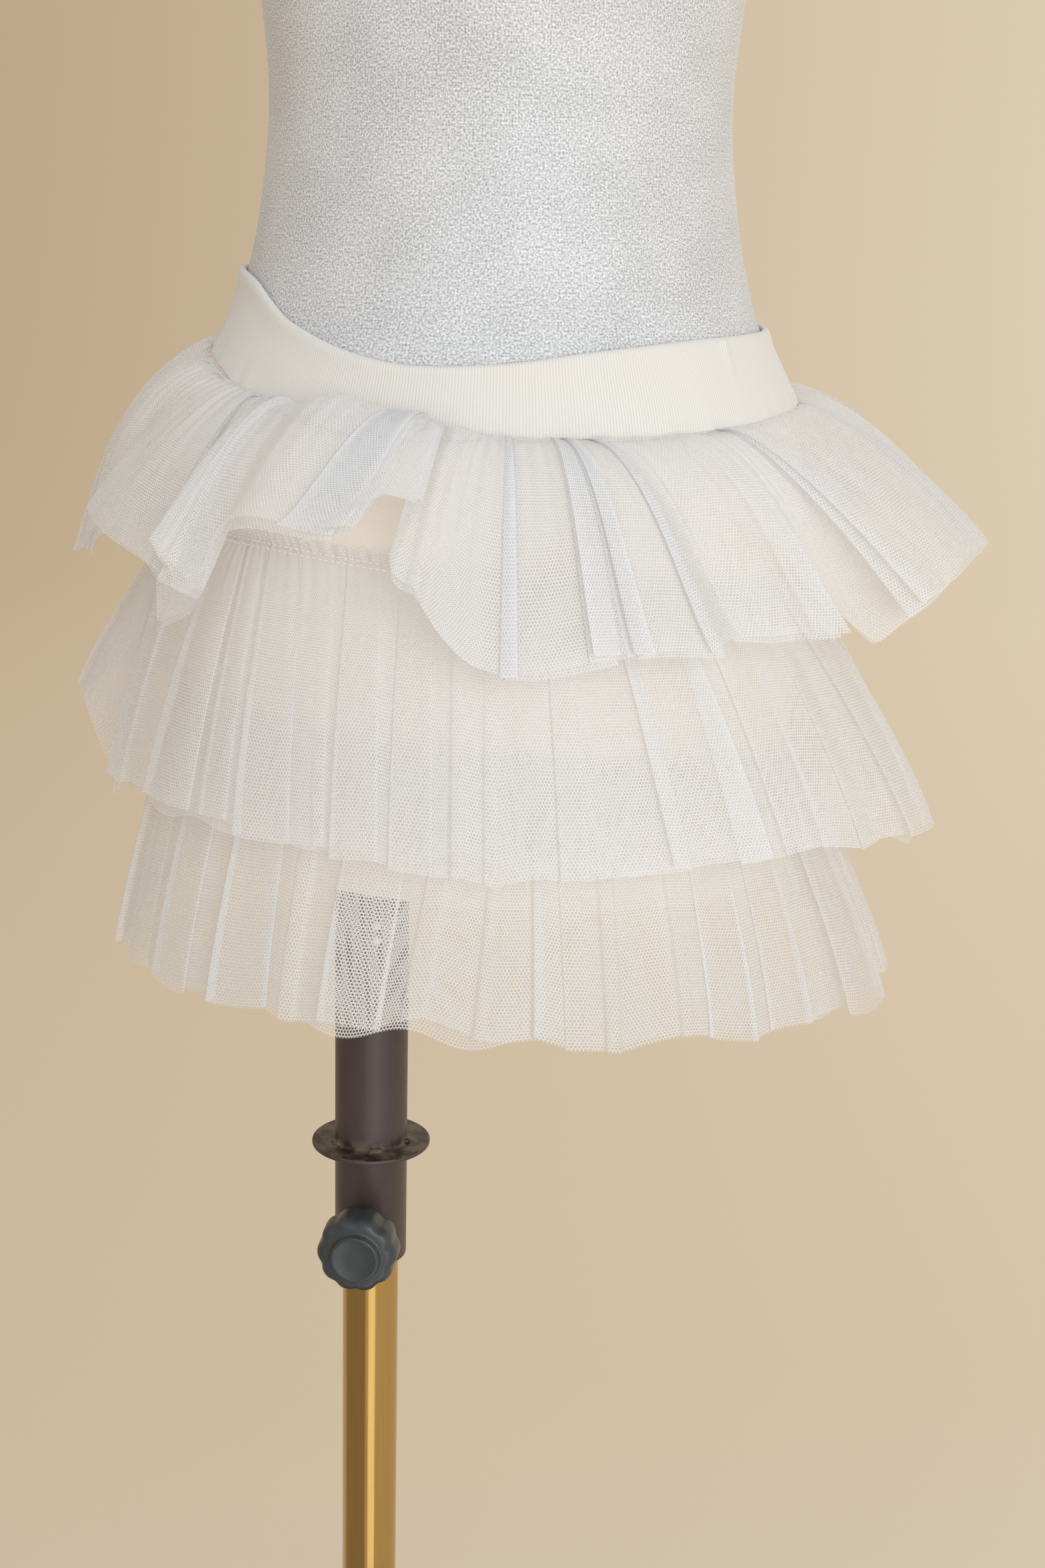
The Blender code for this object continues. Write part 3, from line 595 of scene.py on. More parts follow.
def tulle_ply(name, table, folds, sewn, depth, header, seed, inner, gathers):
    """One ply: its creases in the order that the cloth runs, its tier's outline, and in metres how far from
    the form it is sewn, the depth of its strip, the frill above its seam and the height of its gathers."""
    chance = np.random.default_rng(seed)
    path = np.array(folds, float)
    if inner:  # it lies behind, with its folds a little less deep
        path[:, 1] += chance.normal(0, INNER_STRAY, len(path))
        path[:, 3] -= INNER_BACK
        path[:, 4] = path[:, 4] * INNER_LIFT - INNER_DROP
    path = np.vstack((path, path[0] + (360, 360, 0, 0, 0, 0, 0)))
    steps = np.diff(path, axis=0)
    run = np.hypot(np.hypot(steps[:, 1] * HEM_ARC, steps[:, 4]), np.hypot(steps[:, 2], steps[:, 3]))
    run = np.concatenate(([0], np.cumsum(run)))
    columns = int(run[-1] / CLOTH_STEP)
    pitch = run[-1] / columns
    along = np.arange(columns) * pitch
    values = np.stack([np.interp(along, run, path[:, k]) for k in range(7)])
    trend = path[0, 0] + 360 * along / run[-1]
    values[:2] -= trend
    crisp, loose = blur(values, CRISP), blur(values, LOOSE)
    soft = np.clip(blur(values[5:6], 4.0), 0, 1) ** 2
    _, hem_turn, hem_height, spread, lift, _, puff = crisp * (1 - soft) + loose * soft
    hem_turn = hem_turn + trend
    seam_turn = blur(values[:1], 9.0)[0] + trend  # the gathers share the cloth out evenly along the seam
    lean = blur(hem_turn[None] - seam_turn, EASED)[0]
    fold = hem_turn - seam_turn - lean
    spread, lift, hem_height = spread / 1000, lift / 1000, hem_height / 1000
    seam, out, up = table(seam_turn)[:3]
    out, up = out * puff, up * puff

    wander = np.zeros((3, columns))  # long waves for the hem, shorter ones for the cloth, and fine ones
    for k, first, last, step in ((0, 5, 29, 2), (1, 14, 60, 3), (2, 45, 150, 5)):
        for waves in range(first, last, step):
            turn = 2 * math.pi * waves * along / run[-1]
            wander[k] += chance.normal(0, 1) * np.cos(turn + chance.uniform(0, 6.3))
    wander /= np.abs(wander).max(1)[:, None]
    hem_height = hem_height + HEM_WANDER * wander[0] - INNER_LONG * inner
    change = blur(chance.uniform(-1, 1, (1, columns)), 8.0)[0]
    shiver = np.cumsum(2 * math.pi * pitch / (GATHER + GATHER_CHANGE * change))
    rings, threads = [], []
    for row in range(PLY_ROWS + 1):
        share = (row / PLY_ROWS) ** 1.15
        rest = 1 - share
        low = (sewn + 0 * out, sewn + out, sewn + spread * 0.75, sewn + spread)
        high = (seam, seam + up, hem_height + 0.4 * (seam - hem_height), hem_height)
        weights = (rest**3, 3 * rest * rest * share, 3 * rest * share * share, share**3)
        away = sum(w * p for w, p in zip(weights, low))
        height = sum(w * p for w, p in zip(weights, high))
        weights = (rest**2, 2 * rest * share, share**2)
        slope = [3 * sum(w * (b - a) for w, a, b in zip(weights, p, p[1:])) for p in (low, high)]
        size = np.maximum(np.hypot(*slope), 1e-6)
        angle = seam_turn + lean * share**0.85 + fold * share**0.38
        gather = math.exp(-share * depth / (GATHER_FALL + 14 * gathers))
        gather = gather * (gathers * (1 + np.sin(shiver)) + GATHERED_LIFT * (lift + DEEPEST))
        flow = share**0.6
        offset = lift * flow + CLOTH_WANDER * flow * wander[1]
        offset += math.sin(math.pi * share**0.5) * FINE_WANDER * wander[2]
        away = np.maximum(away - slope[1] / size * offset, sewn) + gather
        height = height + slope[0] / size * offset
        rings.append(on_form(angle, height, away))
        threads.append(np.stack((along / 1000, np.full(columns, -share * depth)), -1))
    if header:
        top = []
        for row in (3, 2, 1):
            flare = row / 3
            bunch = gathers * (1 + np.sin(shiver + 0.8 * flare)) * (1 + 0.8 * flare)
            away = sewn + bunch + GATHERED_LIFT * (lift + DEEPEST)
            height = seam + header * flare * (1 + 0.25 * wander[2])
            top.append(on_form(seam_turn, height, away + FRILL_FLARE * flare**2))
            threads.insert(3 - row, np.stack((along / 1000, np.full(columns, header * flare)), -1))
        rings = top + rings
    closed = [np.vstack((ring, ring[:1])) for ring in rings]
    width = np.linalg.norm(np.diff(closed[-1], axis=0), axis=1).sum()
    fall = np.linalg.norm(np.diff(np.stack(rings), axis=0), axis=2).sum(0).mean()
    across = np.concatenate(threads) * (width / run[-1] * 1000, fall / depth)
    made = add_piece(name, np.concatenate(rings), grid_faces(len(rings), columns, True), tulle, across)
    # the faces that close the ring run on in the cloth's own metres, and don't jump back to its start
    wrap = made.data.uv_layers["cloth"].data
    uv = np.zeros(len(wrap) * 2)
    wrap.foreach_get("uv", uv)
    uv = uv.reshape(-1, 4, 2)
    last = uv[:, :, 0].max(1) - uv[:, :, 0].min(1) > width / 2
    uv[last, :, 0] = np.where(uv[last, :, 0] < width / 2, uv[last, :, 0] + width, uv[last, :, 0])
    wrap.foreach_set("uv", uv.ravel())
    apart = np.stack([np.linalg.norm(np.diff(ring, axis=0), axis=1) for ring in closed])
    packed = np.clip(blur(width / columns / np.maximum(apart, 1e-5), 3.0), 1, 3) - 1
    drawn_up = made.data.attributes.new("drawn_up", "FLOAT", "POINT")
    drawn_up.data.foreach_set("value", THICKENING * packed.ravel())
    return made, (width, fall)


def sew_tier(tier, table, plies, sewn, depth, header, seed, gathers):
    """A tier's two plies, each from its own list of creases, sewn to the cloth that holds them."""
    for ply, folds in enumerate(plies):
        name = f"tulle_{tier}_ply_{ply + 1}"
        sheet, cut = tulle_ply(name, table, folds, sewn, depth, header, seed + ply, ply, gathers)
        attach(sheet, "form")
        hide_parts(f"tulle_tier_{tier}")


# angle, seam height, how far the cloth puffs out and up from it, how far the hem spreads, hem height
TIER_TOP = smooth_through((
    (-180, 0.6750, 0.026, 0.016, 0.056, 0.606),
    (-135, 0.6820, 0.024, 0.004, 0.050, 0.598),
    (-108, 0.6830, 0.022, -0.004, 0.045, 0.594),
    (-90, 0.6830, 0.020, -0.004, 0.042, 0.594),
    (-72, 0.6765, 0.020, 0.008, 0.038, 0.612),
    (-46, 0.6650, 0.024, 0.030, 0.045, 0.604),
    (-30, 0.6570, 0.024, 0.040, 0.045, 0.612),
    (-15, 0.6535, 0.024, 0.034, 0.042, 0.612),
    (-6, 0.6545, 0.023, 0.022, 0.039, 0.600),
    (2, 0.6550, 0.022, 0.009, 0.036, 0.577),
    (20, 0.6547, 0.022, 0.006, 0.037, 0.578),
    (44, 0.6575, 0.024, 0.006, 0.044, 0.587),
    (65, 0.6610, 0.024, 0.006, 0.074, 0.608),
    (90, 0.6640, 0.028, 0.006, 0.077, 0.612),
    (115, 0.6660, 0.028, 0.012, 0.072, 0.606),
    (140, 0.6685, 0.026, 0.014, 0.062, 0.603),
), turns=True)
chance = random.Random(21)
folds = random_folds(-168, -100, TIER_TOP, chance)
folds += [  # the pointed flap at the right hip and the panel behind it
    (-72, -95, 592, 44, 0, 0, 1), (-68, -90, 594, 42, -2, 0, 1), (-64, -84, 602, 38, 1, 1, 0.8),
    (-60, -79, 612, 33, -3, 0, 0.6),
    (-56, -71.4, 620.6, 38, 3, 0, 0.15), (-50, -63, 614, 39, 4, 1, 0.2), (-46, -50.3, 603.6, 40, 1, 0, 0.3),
    (-45, -52, 598, 36, -3, 0, 0.4), (-44, -53.3, 581, 34, -1, 0, 0.4), (-43, -45, 591, 36, -2, 0, 0.5),
    (-42, -41, 600, 40, -3, 0, 0.7), (-38, -46.4, 615.2, 45, 5, 0, 0.45), (-34, -43.6, 606.8, 45, 6, 0, 0.6),
    (-32, -44.5, 604, 43, 3, 0, 0.7), (-31, -46.5, 598.1, 42, 4, 0, 0.6), (-28, -39.6, 594.7, 42, 5, 0, 0.7),
]
folds += [  # the swag that is drawn up over the waistband's edge, with slanting creases
    (-25, -37, 610, 44, 4, 0, 0.9), (-22, -33.9, 621, 46, 6, 1, 1), (-19, -30.2, 625, 47, 5, 1, 1.05),
]
folds += strip_fold(-9, -21.5, 9.5, 626, 47.5, 5, 1.05)
folds += [
    (-9, -15, 631, 46, 4, 0, 0.9), (-8, -12.8, 638, 43, 1.5, 0, 0.8), (-6, -9, 637, 38, -2.5, 0, 0.8),
    (-12.5, -12.4, 616, 38, 2.5, 0, 0.7), (-9, -12.2, 609.5, 38, 2, 0, 0.8), (-3, -10.6, 606, 38, 0, 0, 0.9),
    (2.5, -9.4, 604.7, 37, 3, 0, 1.2), (0.5, -6.7, 589.4, 36, 0.5, 1, 1), (0.5, -2.3, 577.8, 36, 1, 1, 1),
]
folds += strip_fold(2.5, 3.2, 3.4, 576, 36, 1.5)
folds += panel(6.5, 8.5, 575.5, 36, 0.5)
folds += left_fold(9.5, 13.6, 580, 38, 5, 2.4)
folds += strip_fold(11.5, 21, 4.0, 582, 38, 2.4) + panel(14, 26, 584, 38, -0.5)
folds += left_fold(13, 30.3, 582, 38, 4, 2.1)
folds += [(14.5, 32.2, 584, 38, 0, 0, 1), (15.5, 33.6, 586, 40, 7, 0, 1), (17.5, 34.8, 585, 39, 0, 0, 1)]
folds += panel(24, 40, 584, 41, 2.5) + [(30, 45.5, 587, 43, -1, 0, 1)]
folds += [(31, 45.8, 587, 46, 2.5, 0, 1), (34, 51.2, 587.4, 50, 3.5, 0, 0.8), (33, 49.5, 592, 45, -2, 0, 0.7)]
folds += [(37, 54, 596, 38, -3, 0, 0.5), (41, 59, 580, 54, -5, 0, 0.5), (44, 62, 597, 68, -4, 0, 0.4)]
folds += [(40, 56.2, 594, 68, 1.5, 0, 0.35), (46, 59, 597, 70, 3, 1, 0.35), (52, 62.4, 602, 71, 1, 0, 0.35)]
folds += [(58, 65.4, 606, 71, 3, 1, 0.35), (64, 68.4, 611, 71, 1, 1, 0.35), (74, 75, 613, 71, 3, 1, 0.4)]
folds += right_fold(84, 84, 611, 71, 9, 2.4, 0.45)
folds += panel(92, 94, 606, 75, 0, 0.8) + random_folds(101, 184, TIER_TOP, chance)
sew_tier("top", TIER_TOP, (folds, folds), sewn=0.0031, depth=0.105, header=0, seed=31, gathers=0.0013)

# The lower tiers are held flat by their stitches, so they puff out little and fall at once.
STITCHED_PUFF = (0.004, -0.008)
TIER_MIDDLE = smooth_through([(angle, seam, *STITCHED_PUFF, spread, hem) for angle, seam, spread, hem in (
    (-180, 0.6050, 0.048, 0.498),
    (-145, 0.6110, 0.054, 0.512),
    (-112, 0.6135, 0.049, 0.536),
    (-99, 0.6135, 0.047, 0.536),
    (-86, 0.6135, 0.029, 0.508),
    (-66, 0.6125, 0.029, 0.509),
    (-45, 0.6118, 0.030, 0.507),
    (-22, 0.6080, 0.034, 0.509),
    (0, 0.6030, 0.038, 0.499),
    (22, 0.5990, 0.038, 0.502),
    (45, 0.5955, 0.044, 0.502),
    (65, 0.5945, 0.051, 0.497),
    (90, 0.5940, 0.058, 0.490),
    (130, 0.5975, 0.052, 0.490),
)], turns=True)
chance = random.Random(52)
folds = random_folds(-172, -62, TIER_MIDDLE, chance)
folds += pleat((-49, -59.3), (-46, -46), 510.6, 30, 2.6) + pleat((-45, -45.2), (-42.5, -38.4), 508, 30, 1.8)
folds += pleat((-41.5, -37.7), (-33.5, -27.1), 506.6, 32, 1.5, 2.4)
folds += pleat((-32, -24.5), (-27, -22.1), 508, 33, 0.8)
folds += pleat((-25, -21.6), (-17.2, -13.6), 502.1, 34, 1.4)
folds += pleat((-16.4, -13.1), (-8.4, -5.9), 501, 36, 1.6)
folds += pleat((-7.2, -4.4), (-3.6, -1.8), 501, 37, 1.4) + pleat((-1, 0.1), (3.4, 2.8), 498, 38, 1.5, -1.4)
folds += panel(5.5, 6.5, 500, 37, -1) + pleat((7.5, 10.1), (14.6, 15.3), 498.5, 38, 1.5)
folds += panel(16.5, 20, 500.5, 38, 0.5) + [(18, 30, 500, 39, -0.8, 0, 1), (17.5, 25.7, 501.2, 39, 1.6, 0, 1)]
folds += [(18.5, 28.2, 499.7, 39, 2.2, 0, 1), (31, 41.6, 502.4, 43, 2.2, 0, 1), (29, 36, 502, 42, -1, 0, 1)]
folds += pleat((33, 42.5), (43, 52.2), 502.4, 45, 1.6, 1.7) + panel(47, 55, 504, 47, 0)
folds += pleat((50, 57), (57, 63.3), 501.5, 49, 1.4) + pleat((58.5, 66.3), (70, 83), 498.1, 57, 2.8, -5)
folds += random_folds(88, 186, TIER_MIDDLE, chance)
under = loose_folds(TIER_MIDDLE, chance)  # the inner ply goes its own way
sew_tier("middle", TIER_MIDDLE, (folds, under), sewn=0.0030, depth=0.118, header=0.005, seed=41,
         gathers=0.0005)

TIER_BOTTOM = smooth_through([(angle, seam, *STITCHED_PUFF, spread, hem) for angle, seam, spread, hem in (
    (-180, 0.5330, 0.046, 0.430),
    (-125, 0.5420, 0.037, 0.437),
    (-90, 0.5450, 0.027, 0.436),
    (-66, 0.5440, 0.027, 0.436),
    (-42, 0.5410, 0.031, 0.437),
    (-20, 0.5375, 0.037, 0.437),
    (0, 0.5340, 0.040, 0.440),
    (20, 0.5300, 0.040, 0.433),
    (45, 0.5255, 0.041, 0.434),
    (70, 0.5225, 0.043, 0.426),
    (90, 0.5220, 0.044, 0.426),
    (130, 0.5250, 0.044, 0.426),
)], turns=True)
chance = random.Random(83)
folds = random_folds(-172, -82, TIER_BOTTOM, chance)
folds += pleat((-74, -80.5), (-71, -77.5), 434, 29, 3) + pleat((-69, -72), (-62, -62), 437, 27, 1.2)
folds += pleat((-60, -58.6), (-45, -48.2), 436.8, 29, 2.4)
folds += pleat((-43.5, -43.5), (-33.6, -31.3), 435.8, 31, 1.8, 3.7)
folds += pleat((-31, -29.8), (-25.5, -26.6), 436.8, 34, 1.4)
folds += pleat((-23.5, -23.3), (-6, -12.9), 439, 36, 1.8, -0.4)
folds += pleat((-4.5, -10.9), (0.5, -6.6), 442, 38, 1.6, 2) + panel(2, -4, 443, 39, -0.5)
folds += pleat((3.6, -0.9), (6.5, 1), 441, 40, 2.0, -1.3) + panel(7.2, 4, 438.5, 40, -1)
folds += [(7.5, 10, 437, 39, -1.5, 0, 1), (7.4, 7, 438.2, 40, 1, 0, 1)]
folds += pleat((8.5, 11.3), (15.4, 15.9), 434.5, 40, 1.5)
folds += pleat((17.2, 17.1), (23, 19.9), 433.5, 40, 1.8, -1.8)
folds += panel(25.5, 24, 434, 40, -0.5) + pleat((28.2, 28.2), (32, 30.4), 436, 41, 1.8)
folds += pleat((33.5, 32), (43, 41.6), 435.4, 41, 1.2, -6)
folds += pleat((44.5, 42.6), (55, 52.7), 429.5, 41.5, 1.3, 1)
folds += panel(56.5, 55.5, 431, 39, -2) + pleat((58.5, 58.8), (70, 75.6), 427.5, 44, 2.8, -5)
folds += pleat((73, 78), (77, 83), 430, 43, 1.5) + random_folds(88, 186, TIER_BOTTOM, chance)
under = loose_folds(TIER_BOTTOM, chance)
sew_tier("bottom", TIER_BOTTOM, (folds, under), sewn=0.0030, depth=0.110, header=0.005, seed=51,
         gathers=0.0005)

# --- Stitching --------------------------------------------------------------------------------------
# White polyester thread: two rows of lockstitch hold each of the lower tiers to the lining through its
# gathers, and show through the tier above as two dotted lines.
STITCH_PITCH = 0.0026
STITCH_LENGTH = 0.0020
THREAD = 0.00055
ROWS_APART = 0.0018
STITCH_OUT = 0.0050  # from the form, over the gathers
STITCH_SLOPE = 0.0009  # how much further out the lower row is
STITCH_RISE = 0.0004  # how far the upper row is above the seam
SWAY = 0.12  # radians by which a stitch strays from its row

# Twisted polyester thread is a clean white with a faint mottle from its twist and a soft sheen.
sewing_thread, tree, shader = finish("white_sewing_thread", Roughness=0.6, Sheen_Weight=0.2)
place = node(tree, "ShaderNodeTexCoord")
twist = node(tree, "ShaderNodeTexNoise", {"Vector": place.outputs["Object"], "Scale": 2500.0})
tone = node(tree, "ShaderNodeMix", {0: twist.outputs["Fac"], 6: linear("#F3EFE8"), 7: linear("#FDFBF7")},
            data_type="RGBA")
tree.links.new(tone.outputs[2], shader.inputs["Base Color"])

stitching = bpy.data.node_groups.new("stitches_along_a_line", "GeometryNodeTree")
face = stitching.interface
face.new_socket("Geometry", in_out="OUTPUT", socket_type="NodeSocketGeometry")
face.new_socket("Line", in_out="INPUT", socket_type="NodeSocketGeometry")
sizes = {}
for name, size in (("Pitch", STITCH_PITCH), ("Stitch Length", STITCH_LENGTH), ("Thread", THREAD)):
    sizes[face.new_socket(name, in_out="INPUT", socket_type="NodeSocketFloat").identifier] = size
given = node(stitching, "NodeGroupInput")
line = node(stitching, "GeometryNodeMeshToCurve", {0: given.outputs["Line"]})
even = node(stitching, "GeometryNodeResampleCurve", {0: line.outputs[0], "Length": given.outputs["Pitch"]},
            mode="LENGTH")
bead = node(stitching, "GeometryNodeMeshUVSphere", {0: 8, 1: 6, 2: 0.5})
across = given.outputs["Thread"]
shape = node(stitching, "ShaderNodeCombineXYZ", {0: given.outputs["Stitch Length"], 1: across, 2: across})
grain = node(stitching, "GeometryNodeTransform", {"Geometry": bead.outputs[0], "Scale": shape.outputs[0]})
heading = node(stitching, "GeometryNodeInputTangent")
aim = node(stitching, "FunctionNodeAlignRotationToVector", {"Vector": heading.outputs[0]}, axis="X")
sway = node(stitching, "FunctionNodeRandomValue",
            {0: (-SWAY, -SWAY, -SWAY), 1: (SWAY, SWAY, SWAY), "Seed": 6}, data_type="FLOAT_VECTOR")
aimed = node(stitching, "FunctionNodeRotateRotation", {0: aim.outputs[0], 1: sway.outputs[0]},
             rotation_space="LOCAL")
many = node(stitching, "GeometryNodeInstanceOnPoints", {0: even.outputs[0], "Instance": grain.outputs[0],
                                                        "Rotation": aimed.outputs[0]})
real = node(stitching, "GeometryNodeRealizeInstances", {0: many.outputs[0]})
sewn = node(stitching, "GeometryNodeSetMaterial", {0: real.outputs[0], "Material": sewing_thread})
node(stitching, "NodeGroupOutput", {0: sewn.outputs[0]})


def stitch_rows(name, lines):
    """Rows of stitches along closed lines of points, as one plain mesh."""
    guide = bpy.data.meshes.new(name + "_line")
    count = len(lines[0])
    edges = [(k * count + i, k * count + (i + 1) % count) for k in range(len(lines)) for i in range(count)]
    guide.from_pydata([tuple(p) for p in np.concatenate(lines)], edges, [])
    carrier = bpy.data.objects.new(name + "_line", guide)
    bpy.context.scene.collection.objects.link(carrier)
    sewing = carrier.modifiers.new("stitches", "NODES")
    sewing.node_group = stitching
    for socket, size in sizes.items():
        sewing[socket] = size
    bpy.context.view_layer.update()
    mesh = bpy.data.meshes.new_from_object(carrier.evaluated_get(bpy.context.evaluated_depsgraph_get()))
    bpy.data.objects.remove(carrier)
    mesh.name = name
    mesh.shade_smooth()
    made = bpy.data.objects.new(name, mesh)
    bpy.context.scene.collection.objects.link(made)
    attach(made, "form")


around = np.arange(720) / 2 - 180
for name, table in (("stitches_middle", TIER_MIDDLE), ("stitches_bottom", TIER_BOTTOM)):
    seam = table(around)[0]
    lines = []
    for row in (0, 1):
        height, out = seam + STITCH_RISE - ROWS_APART * row, STITCH_OUT + STITCH_SLOPE * row + 0 * around
        lines.append(on_form(around, height, out))
    stitch_rows(name, lines)

# --- Stand ------------------------------------------------------------------------------------------
# Steel tube painted a satin brown: the form's sleeve with its welded disc and screw boss, two bright
# rivets under the form, and the round base. The pole inside it is brass-plated and left bright.
POLE_RADIUS = 0.0125
POLE_WALL = 0.0012
POLE_TOP = 0.470
SEAT_GAP = 0.0003
SLEEVE_RADIUS = 0.0160
SLEEVE_BOTTOM = 0.2785
SLEEVE_TOP = 0.560
SLEEVE_EDGE = 0.0016  # how far its corners are rounded
POLE_EDGE = 0.0004
BASE_EDGE = 0.0012
BOSS_EDGE = 0.0008
DISC_RADIUS = 0.0262
DISC_THICKNESS = 0.0022
DISC_HEIGHT = 0.3331
BASE_RADIUS = 0.140
BASE_THICKNESS = 0.008
SOCKET_RADIUS = 0.0180
SOCKET_TOP = 0.034
SOCKET_FLOOR = 0.005
CAP = 0.003  # thickness of the sleeve's closed end
CORNER_STEPS = 4


def rounded(corners, radius):
    """A profile's corners as small arcs."""
    profile = []
    for before, corner, after in zip(corners[-1:] + corners[:-1], corners, corners[1:] + corners[:1]):
        corner, before, after = Vector(corner), Vector(before), Vector(after)
        reach = min(radius, (before - corner).length * 0.4, (after - corner).length * 0.4)
        start = corner + (before - corner).normalized() * reach
        end = corner + (after - corner).normalized() * reach
        for t in np.linspace(0, 1, CORNER_STEPS + 1):
            profile.append(tuple(start * (1 - t) ** 2 + corner * 2 * t * (1 - t) + end * t * t))
    return profile


def turned(name, profile, material, sides=128, place=Matrix.Identity(4), radial=None):
    """A closed profile of radius and height turned round an axis; radial changes each point's radius."""
    points = []
    for radius, height in profile:
        for side in range(sides):
            turn = 2 * math.pi * side / sides
            reach = radius * (1 - radial(radius, height, turn)) if radial else radius
            points.append(place @ Vector((reach * math.cos(turn), reach * math.sin(turn), height)))
    ring = grid_faces(len(profile), sides, True).tolist()
    last = (len(profile) - 1) * sides
    ring += [(last + i, i, (i + 1) % sides, last + (i + 1) % sides) for i in range(sides)]
    made = add_piece(name, points, ring, material)
    fix = bmesh.new()
    fix.from_mesh(made.data)
    bmesh.ops.remove_doubles(fix, verts=fix.verts, dist=1e-6)
    bmesh.ops.recalc_face_normals(fix, faces=fix.faces)
    fix.to_mesh(made.data)
    fix.free()
    return made


# Sprayed enamel: brown with a faint violet, slightly mottled, with a fine orange peel that softens its
# gloss; on the disc the weld's heat has stained it dark and a little rusty.
painted, tree, shader = finish("brown_satin_enamel", Roughness=0.40)
place = node(tree, "ShaderNodeTexCoord")
cloud = node(tree, "ShaderNodeTexNoise", {"Vector": place.outputs["Object"], "Scale": 60.0, "Detail": 5.0})
tone = node(tree, "ShaderNodeMix", {0: cloud.outputs["Fac"], 6: linear("#403332"), 7: linear("#4D3F3E")},
            data_type="RGBA")
axes = node(tree, "ShaderNodeSeparateXYZ", {0: place.outputs["Object"]})
# the stain starts at the disc's upper face and is gone within 7 mm of it
over = node(tree, "ShaderNodeMapRange",
            {0: axes.outputs[2], 1: DISC_HEIGHT + 0.0003, 2: DISC_HEIGHT + 0.0011})
under = node(tree, "ShaderNodeMapRange",
             {0: axes.outputs[2], 1: DISC_HEIGHT + 0.0069, 2: DISC_HEIGHT + 0.0024})
ring = node(tree, "ShaderNodeMath", {0: over.outputs[0], 1: under.outputs[0]}, operation="MULTIPLY")
rust = node(tree, "ShaderNodeTexNoise", {"Vector": place.outputs["Object"], "Scale": 160.0, "Detail": 6.0})
patch = node(tree, "ShaderNodeMapRange", {0: rust.outputs["Fac"], 1: 0.42, 2: 0.60})
stain = node(tree, "ShaderNodeMix", {0: patch.outputs[0], 6: linear("#2B2421"), 7: linear("#66594A")},
             data_type="RGBA")
worn = node(tree, "ShaderNodeMix", {0: ring.outputs[0], 6: tone.outputs[2], 7: stain.outputs[2]},
            data_type="RGBA")
tree.links.new(worn.outputs[2], shader.inputs["Base Color"])
peel = node(tree, "ShaderNodeTexNoise", {"Vector": place.outputs["Object"], "Scale": 1400.0})
skin = node(tree, "ShaderNodeBump", {"Strength": 0.25, "Distance": 0.0001, "Height": peel.outputs["Fac"]})
tree.links.new(skin.outputs[0], shader.inputs["Normal"])

# Brass plating over a drawn tube: faint streaks run up it, just enough to soften what it mirrors.
brass, tree, shader = finish("brass_plated_tube", Roughness=0.14, Metallic=1.0)
place = node(tree, "ShaderNodeTexCoord")
drawn = node(tree, "ShaderNodeMapping", {"Vector": place.outputs["Object"], "Scale": (1.0, 1.0, 0.01)})
streak = node(tree, "ShaderNodeTexNoise", {"Vector": drawn.outputs[0], "Scale": 1500.0, "Detail": 3.0})
tone = node(tree, "ShaderNodeMix", {0: streak.outputs["Fac"], 6: linear("#BE9C5C"), 7: linear("#CDAE72")},
            data_type="RGBA")
tree.links.new(tone.outputs[2], shader.inputs["Base Color"])
skin = node(tree, "ShaderNodeBump", {"Strength": 0.2, "Distance": 0.00003, "Height": streak.outputs["Fac"]})
tree.links.new(skin.outputs[0], shader.inputs["Normal"])

inner = POLE_RADIUS - POLE_WALL
foot = SOCKET_FLOOR + SEAT_GAP
pole = turned("brass_pole", rounded([
    (inner, POLE_TOP), (POLE_RADIUS, POLE_TOP), (POLE_RADIUS, foot), (inner, foot)], POLE_EDGE), brass)
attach(pole, "stand")
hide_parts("pole")

bore = POLE_RADIUS + SEAT_GAP
base = turned("painted_base", rounded([
    (bore, SOCKET_TOP), (SOCKET_RADIUS, SOCKET_TOP), (SOCKET_RADIUS, BASE_THICKNESS),
    (BASE_RADIUS, BASE_THICKNESS), (BASE_RADIUS, 0.0), (0.0, 0.0), (0.0, SOCKET_FLOOR), (bore, SOCKET_FLOOR)],
    BASE_EDGE), painted)
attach(base, "stand")
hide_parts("base")

disc_top, disc_foot = DISC_HEIGHT + DISC_THICKNESS / 2, DISC_HEIGHT - DISC_THICKNESS / 2
sleeve = turned("painted_sleeve", rounded([
    (0.0, SLEEVE_TOP), (SLEEVE_RADIUS, SLEEVE_TOP), (SLEEVE_RADIUS, disc_top), (DISC_RADIUS, disc_top),
    (DISC_RADIUS, disc_foot), (SLEEVE_RADIUS, disc_foot), (SLEEVE_RADIUS, SLEEVE_BOTTOM),
    (bore, SLEEVE_BOTTOM), (bore, SLEEVE_TOP - CAP), (0.0, SLEEVE_TOP - CAP)], SLEEVE_EDGE), painted)
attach(sleeve, "form")
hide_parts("sleeve")

